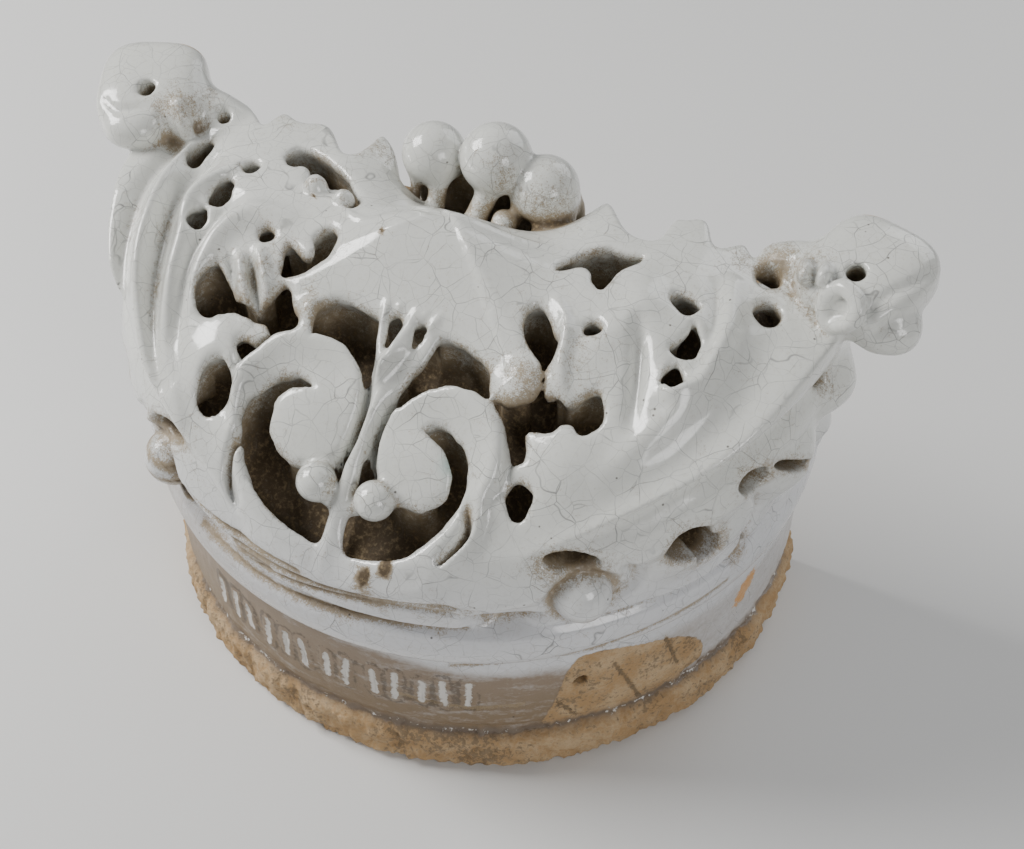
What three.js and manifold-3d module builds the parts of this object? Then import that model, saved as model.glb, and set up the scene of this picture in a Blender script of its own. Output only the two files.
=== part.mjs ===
import * as THREE from 'three';
import { LoftGeometry } from 'three/addons/geometries/LoftGeometry.js';
import { mergeVertices } from 'three/addons/utils/BufferGeometryUtils.js';
import Module from 'manifold-3d';

// Cap of an engaged half-round column, one block of glazed fired clay.
// It stands on its flat bed. X runs along the wall, Y runs into the wall, Z is up,
// and the origin is on the bed, on the axis of the half-round drum.

// Driving dimensions in millimetres
const drumRadius = 178;
const backDepth = 30;
const flangeHeight = 26;
const flangeChamfer = 4;
const ledgeDepth = 5;
const ledgeHeight = 9;
const bandTop = 95;
const bandDepth = 3;
const rollHeight = 26;
const fixingHoleRadius = 3.6;
const fixingHoleDepth = 20;
const fixingHoleHeight = 67;
const strokeWidth = 3;
const strokeHeight = 20;
const strokeDepth = 1.5;
const strokeMiddle = 65;
const wellDepth = 34;
const drillDepth = 30;

// The carving is free form, so its places and sizes are shares of the drum's radius
const share = (value) => value * drumRadius;
const point = (x, y, z) => new THREE.Vector3(share(x), share(y), share(z));
const sides = [-1, 1];
const faceNormal = new THREE.Vector3(0, -0.6, 0.8);

const manifold = await Module();
manifold.setup();
const { Manifold, Mesh } = manifold;

// Solids

function solid(geometry) {
  const plain = new THREE.BufferGeometry().copy(geometry);
  plain.deleteAttribute('normal');
  plain.deleteAttribute('uv');
  const merged = mergeVertices(plain, 1e-3);
  const corners = merged.index.array;
  const faces = [];
  for (let i = 0; i < corners.length; i += 3) {
    const [a, b, c] = [corners[i], corners[i + 1], corners[i + 2]];
    if (a !== b && b !== c && c !== a) faces.push(a, b, c);
  }
  return new Manifold(new Mesh({
    numProp: 3,
    vertProperties: new Float32Array(merged.attributes.position.array),
    triVerts: new Uint32Array(faces),
  }));
}

function joined(solids) {
  return solids.reduce((whole, next) => whole.add(next));
}

function block(width, depth, height, x, y, z) {
  return solid(new THREE.BoxGeometry(width, depth, height).translate(x, y, z));
}

function egg(centre, radii, turn = new THREE.Euler(), around = 10, rings = 6) {
  const geometry = new THREE.SphereGeometry(1, around, rings);
  geometry.rotateX(Math.PI / 2);
  geometry.scale(share(radii[0]), share(radii[1]), share(radii[2]));
  geometry.applyMatrix4(new THREE.Matrix4().makeRotationFromEuler(turn));
  geometry.translate(centre.x, centre.y, centre.z);
  return solid(geometry);
}

function drill(mouth, direction, radii, depth, around = 8) {
  const geometry = new THREE.CylinderGeometry(1, 0.8, 1, around);
  geometry.translate(0, -0.25, 0);
  geometry.scale(radii[0], depth, radii[1]);
  const turn = new THREE.Quaternion().setFromUnitVectors(
    new THREE.Vector3(0, 1, 0), direction.clone().normalize());
  geometry.applyQuaternion(turn);
  geometry.translate(mouth.x, mouth.y, mouth.z);
  return solid(geometry);
}

// A rod of changing thickness along a smooth path
function rod(places, thicknesses, steps, around = 6) {
  const path = new THREE.CatmullRomCurve3(places);
  const sections = [];
  for (let i = 0; i <= steps; i += 1) {
    const t = i / steps;
    const at = t * (thicknesses.length - 1);
    const low = Math.min(Math.floor(at), thicknesses.length - 2);
    const radius = share(THREE.MathUtils.lerp(thicknesses[low], thicknesses[low + 1], at - low));
    const along = path.getTangent(t);
    const across = along.clone().cross(faceNormal).normalize();
    const out = across.clone().cross(along).normalize();
    const centre = path.getPoint(t);
    const ring = [];
    for (let k = 0; k < around; k += 1) {
      const angle = (k / around) * 2 * Math.PI;
      ring.push(centre.clone()
        .addScaledVector(across, radius * Math.cos(angle))
        .addScaledVector(out, -radius * Math.sin(angle)));
    }
    sections.push(ring);
  }
  return solid(new LoftGeometry(sections, { capStart: true, capEnd: true }));
}

// An upright prism on a smooth closed outline given as shares of the radius
function prism(outline, smooth = 2, top = 1.7) {
  const corners = outline.map(([x, y]) => new THREE.Vector3(share(x), share(y), 0));
  const closed = new THREE.CatmullRomCurve3(corners, true, 'catmullrom', 0.5);
  const loop = smooth > 1 ? closed.getPoints(outline.length * smooth).slice(0, -1) : corners;
  const shape = new THREE.Shape(loop.map((p) => new THREE.Vector2(p.x, p.y)));
  return solid(new THREE.ExtrudeGeometry(shape, { depth: share(top), bevelEnabled: false }));
}

// Form of the sloping face, as shares of the drum's radius

function faceHeight(x, y) {
  const crown = 1.355;
  const ahead = Math.max(0, -0.3 - y);
  const slope = 0.525 * (ahead / 0.7) ** 2.18;
  const shoulder = 0.08 * THREE.MathUtils.smoothstep(Math.abs(x), 0.55, 1.0);
  const ridge = Math.max(0, 1 - Math.abs(x) / 0.3) * Math.max(0, 1 - Math.abs(y + 0.31) / 0.2);
  const middle = 1 - THREE.MathUtils.smoothstep(Math.abs(x), 0.1, 0.4);
  const saddle = middle * THREE.MathUtils.smoothstep(y, -0.3, 0.03);
  return crown - slope - shoulder + 0.085 * ridge - 0.13 * saddle;
}

const onFace = (x, y, lift = 0) => point(x, y, faceHeight(x, y) + lift);

// A solid from below the bed up to the face, moved up or down by a lift in millimetres
function underFace(lift, across, deep) {
  const [left, right, front, back] = [-1.35, 1.35, -1.1, 0.3];
  const geometry = new THREE.BoxGeometry(share(right - left), share(back - front), 2, across, deep, 1);
  geometry.translate(share((left + right) / 2), share((front + back) / 2), 0);
  const corners = geometry.attributes.position;
  for (let i = 0; i < corners.count; i += 1) {
    const height = share(faceHeight(corners.getX(i) / drumRadius, corners.getY(i) / drumRadius));
    corners.setZ(i, corners.getZ(i) > 0 ? height + lift : -2 * wellDepth);
  }
  return solid(geometry);
}

// Drum with its flange, ledge, plain band, lip and roll, from the bed upwards

function drum() {
  const bandRadius = drumRadius - bandDepth;
  const ledgeTop = flangeHeight + ledgeHeight;
  const rollMiddle = bandTop + rollHeight / 2;
  const profile = [
    [0, 0],
    [drumRadius - flangeChamfer, 0],
    [drumRadius, flangeChamfer],
    [drumRadius, flangeHeight],
    [drumRadius - ledgeDepth, flangeHeight + 1],
    [drumRadius - ledgeDepth, ledgeTop],
    [bandRadius, ledgeTop + 1],
    [bandRadius, bandTop],
    [drumRadius, bandTop + 1],
    [drumRadius + 2, rollMiddle],
    [drumRadius + 1, bandTop + rollHeight],
    [share(0.985), bandTop + rollHeight + 1],
    [share(1.01), share(0.85)],
    [share(1.03), share(1.05)],
    [share(1.0), share(1.3)],
    [share(1.0), share(1.6)],
    [0, share(1.6)],
  ].map(([radius, height]) => new THREE.Vector2(radius, height));
  const geometry = new THREE.LatheGeometry(profile, 48);
  geometry.rotateX(Math.PI / 2);
  return solid(geometry);
}

const wall = block(share(4), share(2), share(4), 0, backDepth + share(1), share(1));

// Ragged leaf tips along the rear edge, from left to right

const rearEdge = [
  [-1.3, 0.06], [-0.86, 0.04], [-0.79, -0.02], [-0.745, 0.05], [-0.71, 0.0], [-0.66, 0.09],
  [-0.6, 0.07], [-0.53, 0.085], [-0.46, 0.02], [-0.405, -0.04], [-0.37, 0.11], [-0.32, 0.08],
  [-0.27, 0.02], [-0.2, 0.0], [0, 0.02], [0.2, 0.0], [0.27, 0.02], [0.32, 0.09], [0.385, 0.02],
  [0.43, -0.05], [0.49, -0.05], [0.52, 0.07], [0.59, 0.1], [0.635, 0.0], [0.68, 0.01],
  [0.716, 0.07], [0.77, -0.02], [0.86, 0.04], [1.3, 0.06],
];

function rearTrim() {
  const behind = prism([...rearEdge, [1.3, 0.5], [-1.3, 0.5]], 1);
  return behind.translate(0, 0, share(1.13));
}

// Hollows sunk in the face, given for the right side and mirrored

const fanHollow = [
  [0.055, -0.54], [0.1, -0.495], [0.17, -0.485], [0.25, -0.5], [0.32, -0.51], [0.3, -0.59],
  [0.2, -0.59], [0.13, -0.585], [0.07, -0.605], [0.03, -0.64],
];
const scrollHollow = [
  [0.14, -0.665], [0.21, -0.675], [0.265, -0.71], [0.285, -0.765], [0.27, -0.835], [0.215, -0.905],
  [0.14, -0.94], [0.05, -0.965], [0.02, -0.9], [0.03, -0.79], [0.09, -0.825], [0.155, -0.835],
  [0.215, -0.81], [0.245, -0.765], [0.235, -0.72], [0.19, -0.695], [0.14, -0.69],
];
const armGroove = [
  [0.34, -0.65], [0.37, -0.7], [0.385, -0.77], [0.35, -0.87], [0.32, -0.87], [0.35, -0.77],
  [0.34, -0.7], [0.31, -0.65],
];
const leafHollow = [
  [0.29, -0.5], [0.345, -0.53], [0.37, -0.5], [0.4, -0.545], [0.45, -0.545], [0.48, -0.5],
  [0.53, -0.475], [0.58, -0.52], [0.555, -0.585], [0.51, -0.61], [0.475, -0.58], [0.45, -0.605],
  [0.4, -0.64], [0.36, -0.61], [0.3, -0.6],
];
const upperHollow = [
  [0.285, -0.235], [0.345, -0.165], [0.44, -0.105], [0.53, -0.08], [0.5, -0.15], [0.46, -0.17],
  [0.43, -0.265], [0.39, -0.2], [0.34, -0.25],
];
const mouthHollow = [
  [0.295, -0.34], [0.335, -0.315], [0.375, -0.38], [0.385, -0.46], [0.345, -0.48], [0.31, -0.41],
];
const stemHollow = [[-0.05, -0.85], [-0.03, -0.7], [-0.05, -0.58], [0.05, -0.58], [0.03, -0.7], [0.05, -0.85]];

function hollows() {
  const floor = underFace(-wellDepth, 8, 4);
  const outlines = [fanHollow, scrollHollow, armGroove, leafHollow, upperHollow, mouthHollow];
  const wells = outlines.flatMap((outline) => sides.map(
    (side) => prism(outline.map(([x, y]) => [side * x, y]))));
  return joined([...wells, prism(stemHollow)]).subtract(floor);
}

// Drilled eyes of the face: [x, y, radius], given for the right side

const faceEyes = [
  [0.63, -0.2, 0.027], [0.67, -0.31, 0.031], [0.68, -0.405, 0.026], [0.46, -0.38, 0.021],
  [0.415, -0.755, 0.036], [0.815, -0.06, 0.035],
];

function eyes() {
  return faceEyes.flatMap(([x, y, radius]) => sides.map((side) => drill(
    onFace(side * x, y), new THREE.Vector3(0, -0.35, 0.94), [share(radius), share(radius)], drillDepth)));
}

// A ball under each scroll, and the stem between the scrolls that ends in a fan

function ball(side) {
  return egg(onFace(side * 0.072, -0.86, -0.04), [0.053, 0.053, 0.053]);
}

function stem() {
  const shaft = [[0, -0.99, -0.05], [0, -0.9, -0.03], [0, -0.75, -0.04], [0, -0.56, -0.04]]
    .map(([x, y, lift]) => onFace(x, y, lift));
  const tines = [-0.08, 0, 0.08].map((x) => rod(
    [onFace(0, -0.74, -0.05), onFace(x * 0.35, -0.62, -0.03), onFace(x, -0.47, -0.01)],
    [0.02, 0.02, 0.028], 3));
  return [rod(shaft, [0.034, 0.03, 0.026, 0.03], 6, 8), ...tines];
}

// Flutes that sweep from the foot of the stem up and out to the corners, given for the right side

const flutes = [
  { places: [[0.16, -0.99], [0.46, -0.86], [0.74, -0.62], [0.89, -0.36], [0.95, -0.12]], lift: 0.02, thick: [0.02, 0.045, 0.055] },
  { places: [[0.3, -0.93], [0.5, -0.79], [0.68, -0.6], [0.79, -0.38], [0.82, -0.18]], lift: 0.025, thick: [0.02, 0.04, 0.04] },
  { places: [[0.42, -0.84], [0.56, -0.7], [0.68, -0.54], [0.73, -0.38], [0.73, -0.24]], lift: 0.02, thick: [0.012, 0.03, 0.025] },
];

function flute({ places, lift, thick }, side) {
  return rod(places.map(([x, y]) => onFace(side * x, y, lift)), thick, 8, 7);
}

// Corner pods, each a blunt head with a neck, a curled underside and small knobs

function pod(side) {
  const geometry = new THREE.SphereGeometry(1, 12, 8);
  geometry.rotateX(Math.PI / 2);
  const corners = geometry.attributes.position;
  const square = (value) => Math.sign(value) * Math.abs(value) ** 0.8;
  for (let i = 0; i < corners.count; i += 1) {
    const [x, y, z] = [corners.getX(i), corners.getY(i), corners.getZ(i)].map(square);
    const widening = 1 + 0.1 * x;
    corners.setXYZ(i, share(0.19 * x), share(0.15 * y * widening), share(0.125 * z * widening));
  }
  geometry.scale(side, 1, 1);
  if (side < 0) {
    const order = geometry.index.array;
    for (let i = 0; i < order.length; i += 3) [order[i], order[i + 1]] = [order[i + 1], order[i]];
  }
  geometry.rotateZ(side * 0.12);
  const head = geometry.translate(share(side * 1.03), share(-0.01), share(1.36));
  return [
    solid(head),
    egg(point(side * 0.85, -0.02, 1.3), [0.16, 0.13, 0.1], undefined, 9, 6),
    egg(point(side * 1.08, -0.07, 1.25), [0.12, 0.11, 0.1], undefined, 9, 6),
    egg(point(side * 0.95, -0.13, 1.385), [0.055, 0.055, 0.055], undefined, 9, 6),
  ];
}

function podHoles(side) {
  const down = new THREE.Vector3(0, -0.3, 0.95);
  const out = new THREE.Vector3(side, -0.5, 0.1);
  return [
    drill(point(side * 1.01, -0.04, 1.48), down, [share(0.026), share(0.03)], drillDepth),
    drill(point(side * 1.18, -0.17, 1.24), out, [share(0.018), share(0.04)], drillDepth / 2),
  ];
}

// Three berries on short stalks at the middle of the rear edge: [x, y, z, radius]

const berries = [[-0.185, 0.06, 1.33, 0.09], [0.0, 0.065, 1.39, 0.1], [0.15, 0.06, 1.33, 0.096]];

function berryGroup() {
  return berries.flatMap(([x, y, z, radius]) => [
    egg(point(x, y, z), [radius, radius, radius], undefined, 11, 7),
    rod([point(x, y - 0.03, z - 0.02), point(0.7 * x, -0.09, 1.2), point(0.6 * x, -0.12, 1.12)],
      [0.05, 0.032, 0.04], 2),
  ]);
}

function berryGap() {
  const gap = [[-0.24, 0.2], [-0.25, -0.02], [-0.15, -0.07], [0.14, -0.07], [0.24, -0.02], [0.24, 0.2]];
  return prism(gap, 1, 0.2).translate(0, 0, share(1.06));
}

// Carving of the flanks, placed by the angle from the front and the height

function onFlank(side, degrees, height, radius = 1) {
  const angle = THREE.MathUtils.degToRad(degrees);
  return point(side * radius * Math.sin(angle), -radius * Math.cos(angle), height);
}

// Leaf lobes: [angle, height, radius of the place, width, height of the lobe, thickness]
const flankLobes = [
  [37, 0.78, 0.98, 0.08, 0.09, 0.085],
  [15, 0.79, 0.93, 0.12, 0.04, 0.08],
  [60, 0.84, 0.93, 0.15, 0.09, 0.12],
  [76, 0.95, 0.94, 0.12, 0.12, 0.12],
  [88, 1.05, 0.96, 0.1, 0.1, 0.12],
  [90, 0.83, 0.95, 0.1, 0.12, 0.1],
];

function flank(side) {
  return flankLobes.map(([degrees, height, radius, width, tall, thick]) => egg(
    onFlank(side, degrees, height, radius), [width, thick, tall],
    new THREE.Euler(0, 0, side * THREE.MathUtils.degToRad(degrees)), 9, 5));
}

// Drilled flank eyes: [angle, height, width, height of the hole]
const flankEyes = [[36, 0.92, 0.05, 0.035], [54, 0.9, 0.055, 0.06], [26, 0.735, 0.08, 0.03],
  [67, 1.0, 0.06, 0.035], [81, 0.95, 0.05, 0.03]];

function flankCuts(side) {
  const cuts = flankEyes.map(([degrees, height, width, tall]) => {
    const place = onFlank(side, degrees, height, 1.02);
    const outward = onFlank(side, degrees, 0, 1);
    return drill(place, outward, [share(width), share(tall)], drillDepth, 8);
  });
  const channel = [18, 34, 50, 66, 82, 96].map((degrees) => {
    const rim = onFlank(side, degrees, 0);
    const top = faceHeight(rim.x / drumRadius, rim.y / drumRadius);
    return onFlank(side, degrees, top - 0.11, 1.045);
  });
  return [...cuts, rod(channel, [0.035, 0.06, 0.065, 0.06], 8, 7)];
}

// Setting marks on the plain band, shallow strokes that spell nothing: [angle, lean]

const strokes = [
  [-28, 25], [-25, -20], [-20, 0], [-17.5, 30], [-12, -25], [-9, 20], [-4, 0], [-1.5, 35],
  [4, -20], [6.5, 10], [12, 30], [15, -15], [19.5, 0],
];

function settingMarks() {
  const bandRadius = drumRadius - bandDepth;
  return strokes.map(([degrees, lean]) => {
    const stroke = new THREE.BoxGeometry(strokeWidth, 2 * strokeDepth, strokeHeight);
    stroke.rotateY(THREE.MathUtils.degToRad(lean));
    stroke.translate(0, -bandRadius, strokeMiddle);
    return solid(stroke.rotateZ(THREE.MathUtils.degToRad(degrees)));
  });
}

function fixingHole() {
  const outward = onFlank(1, 38, 0);
  const mouth = outward.clone().setZ(fixingHoleHeight);
  return drill(mouth, outward, [fixingHoleRadius, fixingHoleRadius], fixingHoleDepth, 10);
}

// The whole cap

function cap() {
  const base = drum().intersect(underFace(0, 30, 14)).subtract(joined([rearTrim(), hollows(), berryGap()]));
  const carving = sides.flatMap((side) => [
    ball(side), ...pod(side), ...flank(side),
  ]);
  const cuts = sides.flatMap((side) => [...podHoles(side), ...flankCuts(side)]);
  const channels = sides.flatMap((side) => flutes.map((one) => flute(one, side)));
  return base
    .subtract(joined(channels))
    .add(joined([...carving, ...stem(), ...berryGroup()]))
    .subtract(joined([...cuts, ...eyes(), ...settingMarks(), fixingHole(), wall]));
}

function geometryOf(whole) {
  const mesh = whole.getMesh();
  const geometry = new THREE.BufferGeometry();
  geometry.setAttribute('position', new THREE.BufferAttribute(new Float32Array(mesh.vertProperties), 3));
  geometry.setIndex(new THREE.BufferAttribute(new Uint32Array(mesh.triVerts), 1));
  geometry.computeVertexNormals();
  return geometry;
}

const glazedClay = new THREE.MeshStandardMaterial({ color: 0xd3d6d2, roughness: 0.2, metalness: 0 });

const ornament = new THREE.Group();
const capMesh = new THREE.Mesh(geometryOf(cap()), glazedClay);
capMesh.name = 'glazed_cap';
ornament.add(capMesh);

export default ornament;
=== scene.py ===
"""Glazed terracotta cap of an engaged half-round column, dressed and lit for rendering.

The cap is one piece of fired clay. Its surface is worked out as a signed distance field on a
regular box of samples: a sloping carved face over a half-round drum, with soft joins, as clay
pressed by hand and covered with a thick glaze has. Places and sizes of the carving are shares of
the drum's radius, in the part's own frame: X along the wall, Y into the wall, Z up.
"""

import logging
import math
from dataclasses import dataclass, field
from enum import Enum
from typing import Any, Callable, Sequence, Union

import bpy
import numpy as np
from mathutils import Matrix, Vector


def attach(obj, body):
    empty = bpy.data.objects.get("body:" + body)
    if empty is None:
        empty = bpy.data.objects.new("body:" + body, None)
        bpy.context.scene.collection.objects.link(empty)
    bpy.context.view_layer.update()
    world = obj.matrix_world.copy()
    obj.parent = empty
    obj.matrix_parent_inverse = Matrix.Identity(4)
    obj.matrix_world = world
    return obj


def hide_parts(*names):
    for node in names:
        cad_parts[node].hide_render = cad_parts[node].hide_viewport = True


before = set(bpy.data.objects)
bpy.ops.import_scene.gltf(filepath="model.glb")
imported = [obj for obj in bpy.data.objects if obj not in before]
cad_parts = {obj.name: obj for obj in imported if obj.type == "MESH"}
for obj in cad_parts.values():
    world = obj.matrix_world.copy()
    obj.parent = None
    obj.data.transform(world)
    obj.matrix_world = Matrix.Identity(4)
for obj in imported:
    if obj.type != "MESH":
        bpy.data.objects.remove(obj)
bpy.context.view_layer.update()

LOG = logging.getLogger("cap")
NODE = "glazed_cap"

# Driving dimensions in metres
DRUM_RADIUS = 0.178
BACK_DEPTH = 0.030
FLANGE_HEIGHT = 0.026
LEDGE_TOP = 0.035
BAND_TOP = 0.095
ROLL_TOP = 0.121
SAMPLE_STEP = 0.0014
TRIANGLE_LIMIT = 190_000

Array = np.ndarray
Point2 = tuple[float, float]
Point3 = tuple[float, float, float]


def share(length: float) -> float:
    """Turns a length in metres into a share of the drum's radius."""
    return length / DRUM_RADIUS


def smoothstep(value: Array, low: float, high: float) -> Array:
    """Rises from 0 at low to 1 at high as 3 t^2 - 2 t^3.

    Args:
        value: numbers to ease.
        low: value where the result is 0.
        high: value where the result is 1.

    Returns:
        The eased numbers, between 0 and 1.
    """
    t = np.clip((value - low) / (high - low), 0.0, 1.0)
    return t * t * (3.0 - 2.0 * t)


def soft_min(a: Array, b: Array, blend: float) -> Array:
    """Smaller of two distances, rounded where they are closer than blend.

    The result is min(a, b) - blend / 4 * (max(0, 1 - |a - b| / blend))^2.

    Args:
        a: first distances.
        b: second distances.
        blend: width of the rounding.

    Returns:
        The joined distances.
    """
    near = np.maximum(0.0, 1.0 - np.abs(a - b) / blend)
    return np.minimum(a, b) - 0.25 * blend * near * near


def soft_max(a: Array, b: Array, blend: float) -> Array:
    """Larger of two distances, rounded where they are closer than blend."""
    return -soft_min(-a, -b, blend)


def smooth_noise(sizes: Sequence[int], cells: Sequence[int], seed: int) -> Array:
    """Even noise between about -1 and 1 on a grid of any number of axes.

    A lattice of seeded random numbers is spread over the grid, one axis after another, by the
    cubic B-spline weights of each sample's four nearest lattice points.

    Args:
        sizes: samples along each axis.
        cells: lattice cells along each axis.
        seed: seed of the random numbers.

    Returns:
        The noise, an array of the given sizes.
    """
    lattice = np.random.default_rng(seed).uniform(-1.6, 1.6, [n + 3 for n in cells])
    for axis, (size, count) in enumerate(zip(sizes, cells)):
        place = np.linspace(0.0, count - 1e-6, size)
        first = np.floor(place).astype(int)
        t = place - first
        weights = np.zeros((size, count + 3))
        rows = np.arange(size)
        weights[rows, first] = (1 - t) ** 3 / 6
        weights[rows, first + 1] = (3 * t**3 - 6 * t**2 + 4) / 6
        weights[rows, first + 2] = (-3 * t**3 + 3 * t**2 + 3 * t + 1) / 6
        weights[rows, first + 3] = t**3 / 6
        lattice = np.moveaxis(np.tensordot(weights, lattice, axes=(1, axis)), 0, axis)
    return lattice.astype(np.float32)


def spline(points: Sequence[Sequence[float]], steps: int, closed: bool = False) -> Array:
    """Catmull-Rom curve through points.

    Args:
        points: places that the curve passes, in any number of dimensions.
        steps: samples from one point to the next.
        closed: whether the curve returns to its first point.

    Returns:
        The samples, one row each.
    """
    places = np.asarray(points, dtype=float)
    if closed:
        padded = np.concatenate([places[-1:], places, places[:2]])
    else:
        first, last = 2 * places[0] - places[1], 2 * places[-1] - places[-2]
        padded = np.concatenate([[first], places, [last]])
    count = len(padded) - 3
    t = (np.arange(steps) / steps)[None, :, None]
    a, b, c, d = (padded[i : i + count][:, None, :] for i in range(4))
    square, cube = 2 * a - 5 * b + 4 * c - d, 3 * b - a - 3 * c + d
    curve = 0.5 * (2 * b + (c - a) * t + square * t**2 + cube * t**3)
    curve = curve.reshape(-1, places.shape[1])
    return curve if closed else np.concatenate([curve, places[-1:]])


@dataclass
class Plan:
    """A flat map of samples, on which outlines and lines are drawn as distances."""

    u: Array
    v: Array

    def line(self, points: Sequence[Point2], steps: int = 5) -> tuple[Array, Array]:
        """Distance to an open smooth line, and how far along it the nearest place is.

        Args:
            points: places that the line passes.
            steps: samples from one point to the next.

        Returns:
            The distances, and the shares of the line's length from 0 to 1.
        """
        curve = spline(points, steps)
        best = np.full(self.u.shape, 9.0)
        along = np.zeros(self.u.shape)
        for i, (start, end) in enumerate(zip(curve[:-1], curve[1:])):
            span = end - start
            t = ((self.u - start[0]) * span[0] + (self.v - start[1]) * span[1]) / (span @ span)
            t = np.clip(t, 0.0, 1.0)
            away = np.hypot(self.u - start[0] - t * span[0], self.v - start[1] - t * span[1])
            nearer = away < best
            best = np.where(nearer, away, best)
            along = np.where(nearer, (i + t) / (len(curve) - 1), along)
        return best, along

    def outline(self, points: Sequence[Point2], steps: int = 5) -> Array:
        """Signed distance to a closed smooth outline, less than 0 inside.

        The sign comes from counting how often a ray along u crosses the outline.

        Args:
            points: places that the outline passes.
            steps: samples from one point to the next.

        Returns:
            The distances.
        """
        curve = spline(points, steps, closed=True)
        curve = sum(np.roll(curve, shift, axis=0) for shift in range(-2, 3)) / 5
        best = np.full(self.u.shape, 9.0)
        crossings = np.zeros(self.u.shape, dtype=bool)
        for start, end in zip(curve, np.roll(curve, -1, axis=0)):
            span = end - start
            along = (self.u - start[0]) * span[0] + (self.v - start[1]) * span[1]
            t = np.clip(along / (span @ span + 1e-12), 0.0, 1.0)
            away = np.hypot(self.u - start[0] - t * span[0], self.v - start[1] - t * span[1])
            best = np.minimum(best, away)
            spans = (start[1] > self.v) != (end[1] > self.v)
            rise = span[1] if abs(span[1]) > 1e-9 else 1e-9
            crossings ^= spans & (self.u < start[0] + (self.v - start[1]) * span[0] / rise)
        return np.where(crossings, -best, best)

    def ring(self, centre: Point2, radii: Point2, turn: float = 0.0) -> Array:
        """Signed distance to an ellipse, as (q - 1) times its smaller radius.

        Args:
            centre: middle of the ellipse.
            radii: half of its width and of its height.
            turn: its turn in degrees.

        Returns:
            The distances, less than 0 inside.
        """
        angle = math.radians(turn)
        du, dv = self.u - centre[0], self.v - centre[1]
        a = (du * math.cos(angle) + dv * math.sin(angle)) / radii[0]
        b = (dv * math.cos(angle) - du * math.sin(angle)) / radii[1]
        return (np.hypot(a, b) - 1.0) * min(radii)


@dataclass(frozen=True)
class Crest:
    """A rounded crest along a line, or a valley where its height is below 0."""

    points: tuple[Point2, ...]
    width: float
    height: float

    def rise(self, plan: Plan) -> Array:
        """Height over a plan.

        It is height * exp(-(d / width)^2) * sqrt(sin(pi * (0.06 + 0.88 t))), with the distance d
        to the line and the share t along it, so it fades at its ends.

        Args:
            plan: places to work it out at.

        Returns:
            The heights.
        """
        away, along = plan.line(self.points)
        fade = np.sqrt(np.sin(math.pi * (0.06 + 0.88 * along)))
        return self.height * np.exp(-((away / self.width) ** 2)) * fade


@dataclass(frozen=True)
class Dome:
    """A low rounded swelling over an ellipse, or a scoop where its height is below 0."""

    centre: Point2
    radii: Point2
    height: float

    def rise(self, plan: Plan) -> Array:
        """Height over a plan: height * (1 - q^2)^2 inside the ellipse, with q = 1 on its line."""
        q = plan.ring(self.centre, self.radii) / min(self.radii) + 1.0
        return self.height * np.maximum(0.0, 1.0 - q * q) ** 2


@dataclass
class Solid:
    """A rounded form given by its signed distance, with the box that it fills."""

    low: Array
    high: Array
    distance: Callable[[Array, Array, Array], Array]


def egg(
    centre: Point3, radii: Point3, turn: float = 0.0, tilt: float = 0.0, power: float = 2.0
) -> Solid:
    """An ellipsoid, or a blunter form where power is over 2.

    Its distance is (q - 1) * q / |gradient of q|, with q = (|x/a|^p + |y/b|^p + |z/c|^p)^(1/p).

    Args:
        centre: its middle.
        radii: half of its length along its own axes.
        turn: turn about Z in degrees.
        tilt: turn about its own X in degrees, before the turn about Z.
        power: the exponent p.

    Returns:
        The solid.
    """
    about_z = np.array(Matrix.Rotation(math.radians(turn), 3, "Z"))
    about_x = np.array(Matrix.Rotation(math.radians(tilt), 3, "X"))
    rotation = (about_z @ about_x).T
    middle, size = np.asarray(centre), np.asarray(radii)
    reach = max(radii)

    def distance(x: Array, y: Array, z: Array) -> Array:
        """Distance at the given places."""
        p = (x - middle[0], y - middle[1], z - middle[2])
        local = [sum(rotation[i, j] * p[j] for j in range(3)) / size[i] for i in range(3)]
        q = sum(np.abs(c) ** power for c in local) ** (1.0 / power) + 1e-6
        slope = np.sqrt(sum((np.abs(c) / q) ** (2 * power - 2) / s**2 for c, s in zip(local, size)))
        return (q - 1.0) / np.maximum(slope, 1e-6)

    return Solid(middle - reach, middle + reach, distance)


def rod(points: Sequence[Point3], radii: Sequence[float], steps: int = 4) -> Solid:
    """A round rod of changing radius along a smooth path.

    Its distance is the least, over the path's segments, of |p - nearest| - radius at that place.

    Args:
        points: places that the path passes.
        radii: the rod's radius at each of them.
        steps: segments from one point to the next.

    Returns:
        The solid.
    """
    path = spline([(*p, r) for p, r in zip(points, radii)], steps)
    reach = max(radii)

    def distance(x: Array, y: Array, z: Array) -> Array:
        """Distance at the given places."""
        best = None
        for start, end in zip(path[:-1], path[1:]):
            span = end[:3] - start[:3]
            along = (x - start[0]) * span[0] + (y - start[1]) * span[1] + (z - start[2]) * span[2]
            t = np.clip(along / (span @ span), 0.0, 1.0)
            away = np.sqrt(
                (x - start[0] - t * span[0]) ** 2
                + (y - start[1] - t * span[1]) ** 2
                + (z - start[2] - t * span[2]) ** 2
            )
            away = away - (start[3] + t * (end[3] - start[3]))
            best = away if best is None else np.minimum(best, away)
        return best

    return Solid(path[:, :3].min(0) - reach, path[:, :3].max(0) + reach, distance)


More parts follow.
